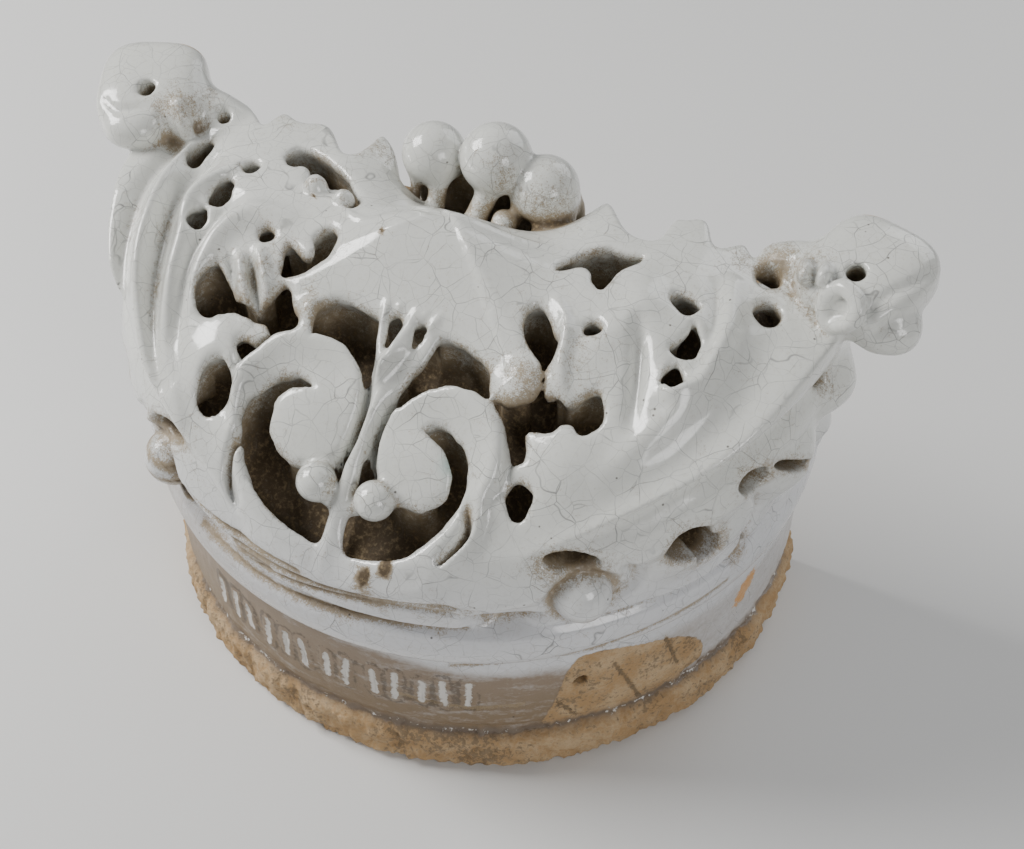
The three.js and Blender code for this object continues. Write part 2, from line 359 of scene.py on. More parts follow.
@dataclass
class Clay:
    """Signed distances on a box of samples, where forms are added and cut away."""

    low: Point3 = (-1.26, -1.09, -0.04)
    high: Point3 = (1.26, share(BACK_DEPTH) + 0.04, 1.54)
    step: float = share(SAMPLE_STEP)
    axes: list[Array] = field(init=False)
    values: Array = field(init=False)

    def __post_init__(self) -> None:
        """Lays out the samples."""
        spans = zip(self.low, self.high)
        self.axes = [np.arange(a, b, self.step, dtype=np.float32) for a, b in spans]
        self.values = np.full([len(a) for a in self.axes], 9.0, dtype=np.float32)

    def column(self) -> tuple[Array, Array]:
        """The X and Y of each column of samples, as two flat maps."""
        return tuple(np.meshgrid(self.axes[0], self.axes[1], indexing="ij"))

    def _near(self, solid: Solid, margin: float) -> tuple[slice, ...]:
        """The samples that a solid can change, as three slices."""
        spans = zip(self.axes, solid.low - margin, solid.high + margin)
        return tuple(slice(*np.searchsorted(axis, [low, high])) for axis, low, high in spans)

    def _distance(self, solid: Solid, part: tuple[slice, ...]) -> Array:
        """A solid's distances at the samples of one part of the box."""
        x, y, z = (axis[cut] for axis, cut in zip(self.axes, part))
        away = solid.distance(x[:, None, None], y[None, :, None], z[None, None, :])
        return away.astype(np.float32)

    def add(self, solid: Solid, blend: float = 0.02) -> None:
        """Joins a solid on, with a fillet as wide as blend."""
        part = self._near(solid, 2 * blend)
        self.values[part] = soft_min(self.values[part], self._distance(solid, part), blend)

    def cut(self, solid: Solid, blend: float = 0.012) -> None:
        """Cuts a solid away, with edges rounded by blend."""
        part = self._near(solid, 2 * blend)
        self.values[part] = soft_max(self.values[part], -self._distance(solid, part), blend)

    def sample(self, volume: Array, places: Array) -> Array:
        """Values of a volume at free places, weighted from the eight samples around each.

        Args:
            volume: numbers on the same box of samples.
            places: rows of X, Y and Z.

        Returns:
            One number for each place.
        """
        index = (places - np.asarray(self.low)) / self.step
        index = np.clip(index, 0, np.array(volume.shape) - 1.001)
        first = index.astype(int)
        t = index - first
        total = np.zeros(len(places))
        for corner in range(8):
            offset = np.array([corner & 1, corner >> 1 & 1, corner >> 2 & 1])
            weight = np.prod(np.where(offset, t, 1 - t), axis=1)
            total += weight * volume[tuple((first + offset).T)]
        return total

    def sample_flat(self, flat: Array, places: Array) -> Array:
        """Values of a map over X and Y at free places, by the same weights."""
        level = np.stack([places[:, 0], places[:, 1], np.full(len(places), self.low[2])], axis=1)
        return self.sample(flat[..., None].repeat(2, axis=2), level)

    def skin(self) -> tuple[Array, Array]:
        """Surface where the distance is 0, as places and quads.

        Each cell that the surface passes gets one place, the mean of the crossings on its edges,
        where a crossing is at a / (a - b) of its edge. Each crossed edge gives one quad.

        Returns:
            The places, in shares of the radius, and four indices for each quad.
        """
        shape = np.array(self.values.shape)
        cells, crossings, turned = [], [], []
        for axis in range(3):
            low = np.take(self.values, np.arange(shape[axis] - 1), axis=axis)
            high = np.take(self.values, np.arange(1, shape[axis]), axis=axis)
            at = np.argwhere((low < 0) != (high < 0))
            a, b = low[tuple(at.T)], high[tuple(at.T)]
            place = at.astype(float)
            place[:, axis] += a / (a - b)
            second, third = (axis + 1) % 3, (axis + 2) % 3
            around = np.repeat(at[:, None, :], 4, axis=1)
            around[:, 1, second] -= 1
            around[:, 2, second] -= 1
            around[:, 2, third] -= 1
            around[:, 3, third] -= 1
            cells.append(around)
            crossings.append(np.repeat(place[:, None, :], 4, axis=1))
            turned.append(a >= 0)
        flat = np.ravel_multi_index(np.concatenate(cells).reshape(-1, 3).T, shape)
        unique, quads = np.unique(flat, return_inverse=True)
        points = np.concatenate(crossings).reshape(-1, 3)
        count = np.bincount(quads, minlength=len(unique))
        sums = [np.bincount(quads, weights=points[:, i], minlength=len(unique)) for i in range(3)]
        places = np.stack(sums, axis=1) / count[:, None] * self.step + np.asarray(self.low)
        quads = quads.reshape(-1, 4)
        flip = np.concatenate(turned)
        quads[flip] = quads[flip][:, ::-1]
        return places, quads

    def closeness(self, reach: float) -> Array:
        """Share of clay around each sample, 0.5 on a flat face and more in a hollow.

        It is the mean, over a box of twice the reach, of a number that is 1 inside and 0 outside.

        Args:
            reach: half of the box's width, as a share of the radius.

        Returns:
            The shares.
        """
        filled = np.clip(0.5 - self.values / (2 * self.step), 0, 1)
        half = max(1, round(reach / self.step))
        for axis in range(3):
            padded = np.concatenate(
                [np.repeat(np.take(filled, [0], axis), half + 1, axis), filled,
                 np.repeat(np.take(filled, [-1], axis), half, axis)], axis)
            total = np.cumsum(padded, axis=axis, dtype=np.float32)
            size = filled.shape[axis]
            ahead = np.take(total, np.arange(2 * half + 1, 2 * half + 1 + size), axis)
            behind = np.take(total, np.arange(size), axis)
            filled = (ahead - behind) / (2 * half + 1)
        return filled


class Side(Enum):
    """The two sides of the cap, with the sign of their X."""

    LEFT = -1
    RIGHT = 1


@dataclass
class CarvedFace:
    """The sloping face: its height over the plan, and the outlines of its hollows."""

    profile: tuple[Point2, ...] = (
        (-1.1, 0.6), (-1.0, 0.83), (-0.85, 0.98), (-0.72, 1.10), (-0.5, 1.27), (-0.3, 1.35),
        (-0.1, 1.355), (0.2, 1.345))
    well_depth: float = 0.2
    left_hollows: dict[str, list[Point2]] = field(default_factory=lambda: {
        "scroll": [
            (-0.18, -0.685), (-0.213, -0.664), (-0.25, -0.667), (-0.285, -0.68), (-0.315, -0.705),
            (-0.338, -0.735), (-0.345, -0.765), (-0.335, -0.8), (-0.305, -0.845), (-0.27, -0.885),
            (-0.22, -0.925), (-0.155, -0.96), (-0.095, -0.985), (-0.06, -0.97), (-0.052, -0.885),
            (-0.05, -0.81), (-0.055, -0.765), (-0.075, -0.755), (-0.1, -0.772), (-0.135, -0.79),
            (-0.175, -0.795), (-0.215, -0.79), (-0.25, -0.775), (-0.268, -0.75), (-0.268, -0.728),
            (-0.258, -0.712), (-0.24, -0.702), (-0.21, -0.694)],
        "fan": [
            (-0.08, -0.502), (-0.11, -0.492), (-0.16, -0.485), (-0.2, -0.485), (-0.225, -0.495),
            (-0.24, -0.525), (-0.238, -0.575), (-0.2, -0.61), (-0.15, -0.62), (-0.11, -0.63),
            (-0.08, -0.64), (-0.058, -0.63), (-0.057, -0.585), (-0.068, -0.55)],
        "leaf": [
            (-0.56, -0.482), (-0.58, -0.505), (-0.59, -0.535), (-0.583, -0.57), (-0.56, -0.597),
            (-0.53, -0.607), (-0.508, -0.593), (-0.485, -0.58), (-0.46, -0.573), (-0.43, -0.584),
            (-0.4, -0.58), (-0.37, -0.58), (-0.35, -0.595), (-0.325, -0.603), (-0.278, -0.577),
            (-0.305, -0.54), (-0.328, -0.512), (-0.35, -0.482), (-0.367, -0.485), (-0.372, -0.51),
            (-0.375, -0.54), (-0.405, -0.555), (-0.445, -0.555), (-0.48, -0.547), (-0.5, -0.525),
            (-0.525, -0.505), (-0.545, -0.495)],
        "mouth": [
            (-0.302, -0.314), (-0.28, -0.33), (-0.27, -0.36), (-0.276, -0.393), (-0.295, -0.42),
            (-0.325, -0.45), (-0.367, -0.469), (-0.383, -0.455), (-0.39, -0.42), (-0.4, -0.385),
            (-0.37, -0.39), (-0.335, -0.41), (-0.315, -0.39), (-0.325, -0.365), (-0.335, -0.345)],
        "upper": [
            (-0.555, -0.1), (-0.525, -0.133), (-0.495, -0.117), (-0.47, -0.125), (-0.455, -0.145),
            (-0.445, -0.185), (-0.425, -0.221), (-0.405, -0.207), (-0.38, -0.182), (-0.35, -0.167),
            (-0.325, -0.18), (-0.32, -0.21), (-0.312, -0.235), (-0.295, -0.241), (-0.275, -0.23),
            (-0.275, -0.21), (-0.3, -0.18), (-0.325, -0.15), (-0.355, -0.12), (-0.4, -0.09),
            (-0.44, -0.07), (-0.48, -0.055), (-0.525, -0.05), (-0.55, -0.065)],
        "gap": [(-0.375, -0.63), (-0.345, -0.605), (-0.33, -0.6), (-0.35, -0.625), (-0.38, -0.645)],
    })
    right_hollows: dict[str, list[Point2]] = field(default_factory=lambda: {
        "scroll": [
            (0.13, -0.703), (0.15, -0.677), (0.183, -0.677), (0.223, -0.693), (0.257, -0.72),
            (0.273, -0.76), (0.277, -0.8), (0.257, -0.847), (0.217, -0.893), (0.163, -0.94),
            (0.11, -0.968), (0.063, -0.98), (0.03, -0.97), (0.01, -0.947), (0.003, -0.887),
            (0.003, -0.813), (0.0, -0.767), (0.03, -0.765), (0.055, -0.785), (0.09, -0.803),
            (0.135, -0.812), (0.18, -0.805), (0.21, -0.785), (0.22, -0.763), (0.213, -0.742),
            (0.195, -0.725), (0.165, -0.712)],
        "fan": [
            (0.093, -0.5), (0.15, -0.503), (0.21, -0.52), (0.243, -0.54), (0.25, -0.567),
            (0.27, -0.6), (0.25, -0.625), (0.19, -0.63), (0.13, -0.64), (0.083, -0.655),
            (0.05, -0.668), (0.036, -0.65), (0.047, -0.607), (0.073, -0.567), (0.09, -0.533)],
        "leaf": [
            (0.37, -0.473), (0.383, -0.513), (0.397, -0.567), (0.43, -0.557), (0.457, -0.567),
            (0.483, -0.553), (0.503, -0.527), (0.53, -0.519), (0.553, -0.547), (0.553, -0.587),
            (0.533, -0.61), (0.513, -0.615), (0.497, -0.601), (0.477, -0.599), (0.457, -0.607),
            (0.45, -0.62), (0.423, -0.63), (0.383, -0.635), (0.39, -0.66), (0.4, -0.687),
            (0.393, -0.703), (0.363, -0.68), (0.337, -0.647), (0.307, -0.623), (0.277, -0.6),
            (0.31, -0.605), (0.35, -0.6), (0.38, -0.575), (0.385, -0.54), (0.372, -0.51)],
        "mouth": [
            (0.295, -0.363), (0.283, -0.4), (0.293, -0.433), (0.317, -0.467), (0.357, -0.487),
            (0.377, -0.497), (0.387, -0.46), (0.373, -0.427), (0.357, -0.4), (0.33, -0.373)],
        "upper": [
            (0.497, -0.12), (0.463, -0.127), (0.397, -0.127), (0.363, -0.147), (0.33, -0.187),
            (0.3, -0.247), (0.337, -0.227), (0.37, -0.21), (0.39, -0.22), (0.403, -0.247),
            (0.427, -0.273), (0.447, -0.253), (0.453, -0.2), (0.477, -0.167)],
        "row_top": [
            (0.603, -0.233), (0.63, -0.207), (0.683, -0.227), (0.67, -0.263), (0.637, -0.267)],
        "row_middle": [
            (0.683, -0.28), (0.713, -0.32), (0.717, -0.36), (0.69, -0.385), (0.65, -0.373),
            (0.67, -0.34), (0.687, -0.313)],
        "side": [
            (0.397, -0.73), (0.423, -0.733), (0.449, -0.753), (0.44, -0.783), (0.413, -0.799),
            (0.383, -0.767), (0.38, -0.747)],
    })
    left_rounds: dict[str, tuple[Point2, Point2, float]] = field(default_factory=lambda: {
        "scroll": ((-0.165, -0.752), (0.12, 0.075), 0.0),
        "fan": ((-0.18, -0.70), (0.137, 0.122), 0.0),
    })
    right_rounds: dict[str, tuple[Point2, Point2, float]] = field(default_factory=lambda: {
        "scroll": ((0.13, -0.768), (0.117, 0.07), -8.0),
        "fan": ((0.205, -0.755), (0.187, 0.157), 0.0),
    })
    slits: tuple[tuple[Point2, ...], ...] = (
        ((-0.345, -0.825), (-0.352, -0.86), (-0.342, -0.895), (-0.305, -0.93)),
        ((0.3, -0.815), (0.314, -0.848), (0.302, -0.88), (0.268, -0.922)))
    carving: tuple[Union[Crest, Dome], ...] = (
        Crest(((-0.01, -0.24), (-0.1, -0.3), (-0.24, -0.37)), 0.009, 0.006),
        Crest(((0.0, -0.22), (0.12, -0.2), (0.25, -0.17)), 0.01, 0.008),
        Crest(((-0.02, -0.24), (-0.13, -0.22), (-0.22, -0.29)), 0.012, -0.006),
        Dome((-0.18, -0.735), (0.16, 0.11), 0.022),
        Dome((0.13, -0.75), (0.16, 0.11), 0.022),
        Crest(((-0.1, -0.985), (-0.21, -0.95), (-0.3, -0.89), (-0.365, -0.82),
               (-0.385, -0.74), (-0.35, -0.66), (-0.29, -0.61), (-0.2, -0.59),
               (-0.11, -0.61), (-0.07, -0.66)), 0.035, 0.035),
        Crest(((0.09, -0.99), (0.2, -0.95), (0.27, -0.89), (0.315, -0.82), (0.335, -0.75),
               (0.315, -0.68), (0.26, -0.635), (0.18, -0.615), (0.1, -0.63), (0.05, -0.67)),
              0.035, 0.035),
        Crest(((-0.034, -1.0), (-0.03, -0.9), (-0.022, -0.8), (-0.014, -0.72),
               (-0.008, -0.65), (0.0, -0.57)), 0.02, 0.02),
        Crest(((-0.05, -0.635), (-0.042, -0.68), (-0.042, -0.725), (-0.05, -0.77),
               (-0.075, -0.81)), 0.0105, -0.1),
        Crest(((0.034, -0.65), (0.016, -0.7), (0.013, -0.75), (0.026, -0.795),
               (0.065, -0.83)), 0.0105, -0.1),
        Crest(((-0.36, -0.62), (-0.4, -0.68), (-0.41, -0.74), (-0.385, -0.8)), 0.014, -0.03),
        Crest(((0.34, -0.64), (0.365, -0.7), (0.37, -0.75), (0.345, -0.8)), 0.014, -0.03),
        Crest(((-0.022, -0.63), (-0.055, -0.56), (-0.07, -0.47)), 0.011, 0.02),
        Crest(((-0.022, -0.63), (-0.0375, -0.56), (-0.035, -0.47)), 0.011, 0.02),
        Crest(((-0.022, -0.63), (-0.0125, -0.56), (0.015, -0.47)), 0.011, 0.02),
        Crest(((-0.022, -0.63), (0.0, -0.56), (0.04, -0.47)), 0.011, 0.02),
        Crest(((-0.022, -0.63), (0.0175, -0.56), (0.075, -0.47)), 0.011, 0.02),
        Dome((-0.47, -0.69), (0.13, 0.13), 0.04),
        Dome((0.5, -0.69), (0.13, 0.12), 0.025),
        Dome((0.335, -0.565), (0.085, 0.09), 0.035),
        Dome((-0.262, -0.535), (0.05, 0.05), 0.03),
        Crest(((-0.44, -0.32), (-0.53, -0.34), (-0.59, -0.42), (-0.605, -0.52),
               (-0.57, -0.63)), 0.035, 0.032),
        Crest(((-0.505, -0.46), (-0.489, -0.487), (-0.459, -0.531), (-0.42, -0.585)), 0.016, 0.028),
        Crest(((-0.46, -0.43), (-0.442, -0.456), (-0.404, -0.509), (-0.37, -0.56)), 0.016, 0.03),
        Crest(((-0.475, -0.455), (-0.46, -0.478), (-0.425, -0.528), (-0.395, -0.574)),
              0.01, -0.035),
        Crest(((-0.53, -0.47), (-0.51, -0.498), (-0.486, -0.537)), 0.01, -0.03),
        Crest(((0.4, -0.4), (0.41, -0.48), (0.44, -0.56)), 0.02, 0.025),
        Crest(((0.34, -0.34), (0.38, -0.38), (0.4, -0.43)), 0.012, 0.016),
        Crest(((0.47, -0.46), (0.5, -0.4), (0.55, -0.3), (0.52, -0.2)), 0.05, 0.02),
        Crest(((0.56, -0.34), (0.6, -0.45), (0.625, -0.56)), 0.022, -0.035),
        Crest(((-0.31, -0.24), (-0.25, -0.28), (-0.2, -0.29)), 0.008, 0.008),
        Crest(((-0.66, -0.2), (-0.725, -0.33), (-0.69, -0.44), (-0.67, -0.56),
               (-0.63, -0.69), (-0.52, -0.82)), 0.022, 0.035),
        Crest(((-0.85, -0.12), (-0.84, -0.28), (-0.815, -0.44), (-0.77, -0.58),
               (-0.66, -0.74), (-0.5, -0.88)), 0.022, 0.035),
        Crest(((-0.76, -0.16), (-0.785, -0.3), (-0.755, -0.45), (-0.71, -0.6),
               (-0.6, -0.76)), 0.035, -0.05),
        Crest(((-0.9, -0.12), (-0.91, -0.28), (-0.87, -0.46), (-0.8, -0.6), (-0.66, -0.78),
               (-0.45, -0.92)), 0.03, -0.045),
        Crest(((-0.6, -0.3), (-0.63, -0.44), (-0.63, -0.55), (-0.6, -0.66)), 0.022, -0.03),
        Crest(((0.74, -0.12), (0.77, -0.28), (0.755, -0.42), (0.71, -0.54), (0.6, -0.68)),
              0.03, 0.03),
        Crest(((0.86, -0.24), (0.84, -0.42), (0.75, -0.58), (0.6, -0.74), (0.4, -0.88)),
              0.06, -0.03),
        Crest(((0.7, -0.15), (0.735, -0.28), (0.73, -0.42)), 0.02, -0.02),
        Crest(((0.66, -0.44), (0.69, -0.49), (0.73, -0.46)), 0.016, 0.03),
        Crest(((-0.48, -0.87), (-0.36, -0.93), (-0.2, -0.975)), 0.014, -0.02),
        Crest(((-0.4, -0.93), (-0.26, -0.975), (-0.12, -0.995)), 0.01, -0.018),
        Crest(((0.12, -0.99), (0.3, -0.94), (0.45, -0.87)), 0.014, -0.02),
        Crest(((0.34, -0.8), (0.33, -0.88), (0.24, -0.96)), 0.014, 0.022),)
    tines: list[list[Point2]] = field(default_factory=lambda: [
        [(-0.053, -0.487), (-0.015, -0.487), (-0.022, -0.53), (-0.032, -0.565), (-0.04, -0.53)],
        [(0.025, -0.49), (0.055, -0.49), (0.045, -0.52), (0.034, -0.55), (0.027, -0.52)],
    ])
    drilled: list[tuple[float, float, float, float]] = field(default_factory=lambda: [
        (-0.6225, -0.1775, 0.023, 0.024), (-0.65, -0.29, 0.028, 0.044),
        (-0.675, -0.378, 0.024, 0.03), (-0.465, -0.378, 0.019, 0.018),
        (-0.3975, -0.6425, 0.024, 0.017), (-0.45, -0.742, 0.042, 0.05),
        (0.685, -0.44, 0.024, 0.031), (0.457, -0.387, 0.02, 0.019),
        (-0.815, -0.135, 0.025, 0.055), (0.805, -0.03, 0.034, 0.042), (0.84, -0.16, 0.033, 0.036),
    ])
    rear_edge: list[Point2] = field(default_factory=lambda: [
        (-1.3, 0.12), (-0.9, 0.1), (-0.82, 0.06), (-0.79, 0.085), (-0.757, 0.06), (-0.73, 0.057),
        (-0.697, 0.015), (-0.682, 0.035), (-0.673, 0.093), (-0.637, 0.083), (-0.6, 0.057),
        (-0.557, 0.077), (-0.523, 0.083), (-0.49, 0.06), (-0.457, 0.02), (-0.41, -0.035),
        (-0.385, -0.01), (-0.367, 0.04), (-0.372, 0.11), (-0.335, 0.1), (-0.29, 0.06), (-0.26, 0.0),
        (-0.2, -0.03), (0.0, -0.03), (0.12, -0.03), (0.22, 0.0), (0.28, 0.03), (0.31, 0.095),
        (0.34, 0.075), (0.38, 0.01), (0.43, -0.05), (0.485, -0.05), (0.515, -0.03), (0.51, 0.065),
        (0.535, 0.07),
        (0.555, 0.075), (0.59, 0.105), (0.62, 0.06), (0.64, 0.0), (0.675, 0.005), (0.71, 0.065),
        (0.73, 0.03), (0.76, -0.01), (0.79, 0.03), (0.84, 0.09), (1.3, 0.12), (1.3, -1.4),
        (-1.3, -1.4),
    ])

    def ground(self, x: Array, y: Array) -> Array:
        """Height of the smooth face, without its relief.

        It is the mean of the profile at five places ahead and behind, lowered at the shoulders
        and by a saddle in front of the berries.

        Args:
            x: X of the places.
            y: Y of the places.

        Returns:
            The heights.
        """
        depths, heights = np.array(self.profile).T
        rise = sum(np.interp(y + 0.03 * step, depths, heights) for step in range(-2, 3)) / 5
        shoulder = 0.06 * smoothstep(np.abs(x), 0.6, 1.0)
        saddle = (1 - smoothstep(np.abs(x), 0.1, 0.4)) * smoothstep(y, -0.3, 0.03)
        return rise - shoulder - 0.13 * saddle

    def relief(self, plan: Plan) -> Array:
        """Height of the low carving over the smooth face: middle leaf, and the carving table."""
        x, y = plan.u, plan.v
        peak = np.minimum(1 - np.abs(x + 0.01) / 0.34, 1 - np.abs(y + 0.24) / 0.26)
        height = 0.075 * smoothstep(peak, -0.05, 1.0)
        crease, _ = plan.line([(-0.01, -0.22), (0.1, -0.335), (0.21, -0.433), (0.27, -0.475)])
        side = np.where(0.72 * (x + 0.01) + 0.69 * (y + 0.22) > 0, 1.0, -1.0)
        height += 0.006 * side * np.exp(-crease / 0.06) * (1 - np.exp(-crease / 0.003))
        for form in self.carving:
            height += form.rise(plan)
        for slit in self.slits:
            height += Crest(slit, 0.0105, -0.075).rise(plan)
        return height

    def hollows(self, plan: Plan) -> Array:
        """Signed distance in plan to the nearest hollow, less than 0 inside one."""
        nearest = np.full(plan.u.shape, 9.0)
        sides = ((self.left_hollows, self.left_rounds), (self.right_hollows, self.right_rounds))
        for outlines, rounds in sides:
            for name, points in outlines.items():
                hollow = plan.outline(points)
                if name in rounds:
                    hollow = np.maximum(hollow, -plan.ring(*rounds[name]))
                nearest = np.minimum(nearest, hollow)
        for points in self.tines:
            nearest = np.minimum(nearest, plan.outline(points))
        for x, y, width, depth in self.drilled:
            nearest = np.minimum(nearest, plan.ring((x, y), (width, depth)))
        return nearest


@dataclass
class DrumWall:
    """The half-round wall: its radius over the angle and the height, and its hollows."""

    count: int = 1100
    rough: float = 0.0125
    scoop: Point2 = (0.45, 0.725)
    scoop_size: Point2 = (0.14, 0.06)
    folds: tuple[tuple[Point2, ...], ...] = (
        ((-0.95, 0.78), (-0.6, 0.72), (-0.3, 0.71), (0.0, 0.745), (0.22, 0.765), (0.42, 0.755)),
        ((-0.8, 0.82), (-0.5, 0.77), (-0.2, 0.76), (0.05, 0.77), (0.25, 0.785), (0.4, 0.785)),
        ((-0.75, 0.87), (-0.5, 0.815), (-0.3, 0.795), (-0.1, 0.79)),
        ((-1.0, 0.84), (-0.7, 0.76), (-0.45, 0.735), (-0.2, 0.735)),
        ((-0.5, 0.665), (-0.2, 0.655), (0.1, 0.67), (0.35, 0.68)))
    scratches: tuple[tuple[Point2, ...], ...] = (
        ((0.765, 0.42), (0.87, 0.17)), ((0.925, 0.45), (0.985, 0.27)), ((0.6, 0.3), (0.66, 0.2)),
        ((0.15, 0.33), (0.35, 0.3), (0.5, 0.31)), ((0.3, 0.5), (0.7, 0.56), (1.1, 0.6)))

    def plan(self, heights: Array) -> Plan:
        """Map of the unrolled wall, with the arc from the front as u and the height as v."""
        arcs = np.linspace(-2.0, 2.0, self.count)
        return Plan(*np.meshgrid(arcs, heights, indexing="ij"))

    def radius(self, plan: Plan) -> Array:
        """Radius of the wall: flange, ledge, band, lip, roll, leaf layer and flare.

        Args:
            plan: map of the unrolled wall.

        Returns:
            The radii.
        """
        arc, z = plan.u, plan.v
        flange, ledge = share(FLANGE_HEIGHT), share(LEDGE_TOP)
        band, roll = share(BAND_TOP), share(ROLL_TOP)
        radius = 1.0 - 0.028 * smoothstep(z, flange - 0.01, flange + 0.02)
        radius += 0.011 * smoothstep(z, ledge - 0.005, ledge + 0.03)
        radius += 0.017 * smoothstep(z, band - 0.012, band + 0.012)
        bulge = np.clip((z - band) / (roll - band), 0, 1)
        radius += 0.012 * np.sin(math.pi * bulge) * (z > band)
        rise = roll + 0.13 * smoothstep(np.abs(arc), 1.1, 1.5)
        radius += 0.022 * smoothstep(z, rise, rise + 0.03)
        radius -= 0.016 * smoothstep(z, rise - 0.03, rise)
        radius += 0.03 * smoothstep(z, 0.8, 1.15)
        noise = smooth_noise(z.shape, (420, 110), 3)
        coarse = smooth_noise(z.shape, (90, 20), 4)
        raw = 1 - smoothstep(z, flange - 0.01, ledge + 0.02)
        radius += self.rough * raw * (0.6 * noise + 0.7 * coarse)
        radius += 0.0022 * (1 - smoothstep(z, band - 0.1, band)) * noise
        radius -= 0.03 * (1 - smoothstep(z, 0.0, 0.035)) * (0.5 + 0.5 * coarse)
        return radius

    def relief(self, plan: Plan) -> Array:
        """Low carving of the flanks: leaf lobes, folds, scratches and the flute under the rim."""
        height = np.zeros(plan.u.shape)
        for side in Side:
            for form in self.flank(side.value):
                height += form.rise(plan)
        for line in self.folds:
            height += Crest(line, 0.008, -0.018).rise(plan)
        for line in self.scratches:
            height += Crest(line, 0.007, -0.008).rise(plan)
        return height

    def flank(self, s: int) -> list[Union[Crest, Dome]]:
        """The low forms of one flank.

        Args:
            s: -1 on the left and 1 on the right.

        Returns:
            The crests, domes and scoop.
        """
        return [
            Crest(((s * 0.3, 0.86), (s * 0.6, 0.99), (s * 0.9, 1.08), (s * 1.2, 1.13),
                   (s * 1.45, 1.14)), 0.05, -0.05),
            Crest(((s * 0.35, 0.79), (s * 0.75, 0.9), (s * 1.05, 0.97), (s * 1.35, 0.98)),
                  0.035, 0.018),
            Dome((s * self.scoop[0], self.scoop[1]), self.scoop_size, -0.075),
            Dome((s * 1.0, 0.84), (0.22, 0.12), 0.035),
            Dome((s * 1.32, 0.9), (0.16, 0.14), 0.05),
            Dome((s * 1.52, 1.03), (0.14, 0.12), 0.055),
            Dome((s * 1.55, 0.82), (0.12, 0.1), 0.035),
            Crest(((s * 0.74, 0.75), (s * 0.8, 0.82), (s * 0.74, 0.92)), 0.02, -0.03),
            Crest(((s * 1.14, 0.72), (s * 1.2, 0.84), (s * 1.16, 0.93)), 0.02, -0.025),
            Crest(((s * 0.86, 0.7), (s * 1.0, 0.71), (s * 1.15, 0.75)), 0.015, 0.012),
        ]

    def hollows(self, plan: Plan) -> Array:
        """Signed distance on the unrolled wall to the nearest hollow."""
        nearest = np.full(plan.u.shape, 9.0)
        for side in Side:
            s = side.value
            holes = [
                ((0.62, 0.935), (0.07, 0.03), -5),
                ((0.93, 0.9), (0.07, 0.062), -30), ((0.99, 0.845), (0.03, 0.05), -25),
                ((1.13, 1.0), (0.06, 0.04), -28), ((1.28, 0.95), (0.09, 0.018), -35),
                ((1.15, 0.71), (0.014, 0.03), -10), ((1.42, 1.15), (0.03, 0.05), 10),
            ]
            for (arc, z), (width, tall), turn in holes:
                nearest = np.minimum(nearest, plan.ring((s * arc, z), (width, tall), s * turn))
        return nearest

    def wrapped(self, plan: Plan, heights: Array) -> tuple[Array, Array]:
        """The wall's radius and its hollows at every sample of the box.

        Each is worked out on the unrolled wall, as rows over the arc, and read between the two
        rows beside each column's arc.

        Args:
            plan: X and Y of each column of samples.
            heights: heights of the samples.

        Returns:
            The radii, with the raised strokes, and the distances to the hollows.
        """
        unrolled = self.plan(heights)
        radius = self.radius(unrolled) + self.relief(unrolled)
        marks = self.marks(unrolled)
        radius = radius + 0.009 * np.exp(-((marks / 0.017) ** 2))
        radius = radius - 0.012 * np.exp(-((marks / 0.007) ** 2))
        row = (np.arctan2(plan.u, -plan.v) + 2.0) / 4.0
        row = np.clip(row, 0, 1) * (self.count - 1)
        first = np.clip(row.astype(int), 0, self.count - 2)
        part = (row - first)[..., None].astype(np.float32)
        maps = (flat.astype(np.float32) for flat in (radius, self.hollows(unrolled)))
        return tuple(flat[first] * (1 - part) + flat[first + 1] * part for flat in maps)

    def marks(self, plan: Plan) -> Array:
        """Distance to the strokes of the setting marks on the band, which spell nothing."""
        strokes = [
            (-28, 6, 0.05), (-24, 4, 0.056), (-20.5, -3, 0.046), (-16, 5, 0.056), (-12, 3, 0.05),
            (-8.5, -4, 0.055), (-4, 2, 0.048), (-0.5, 5, 0.056), (4.5, -3, 0.05), (8, 3, 0.056),
            (12.5, 4, 0.045), (16, -2, 0.056), (20, 2, 0.05),
        ]
        middle = 0.365
        nearest = np.full(plan.u.shape, 9.0)
        for degrees, lean, half in strokes:
            arc, reach = math.radians(degrees), half * math.tan(math.radians(lean))
            away, _ = plan.line([(arc - reach, middle - half), (arc + reach, middle + half)], 1)
            nearest = np.minimum(nearest, away)
        return nearest


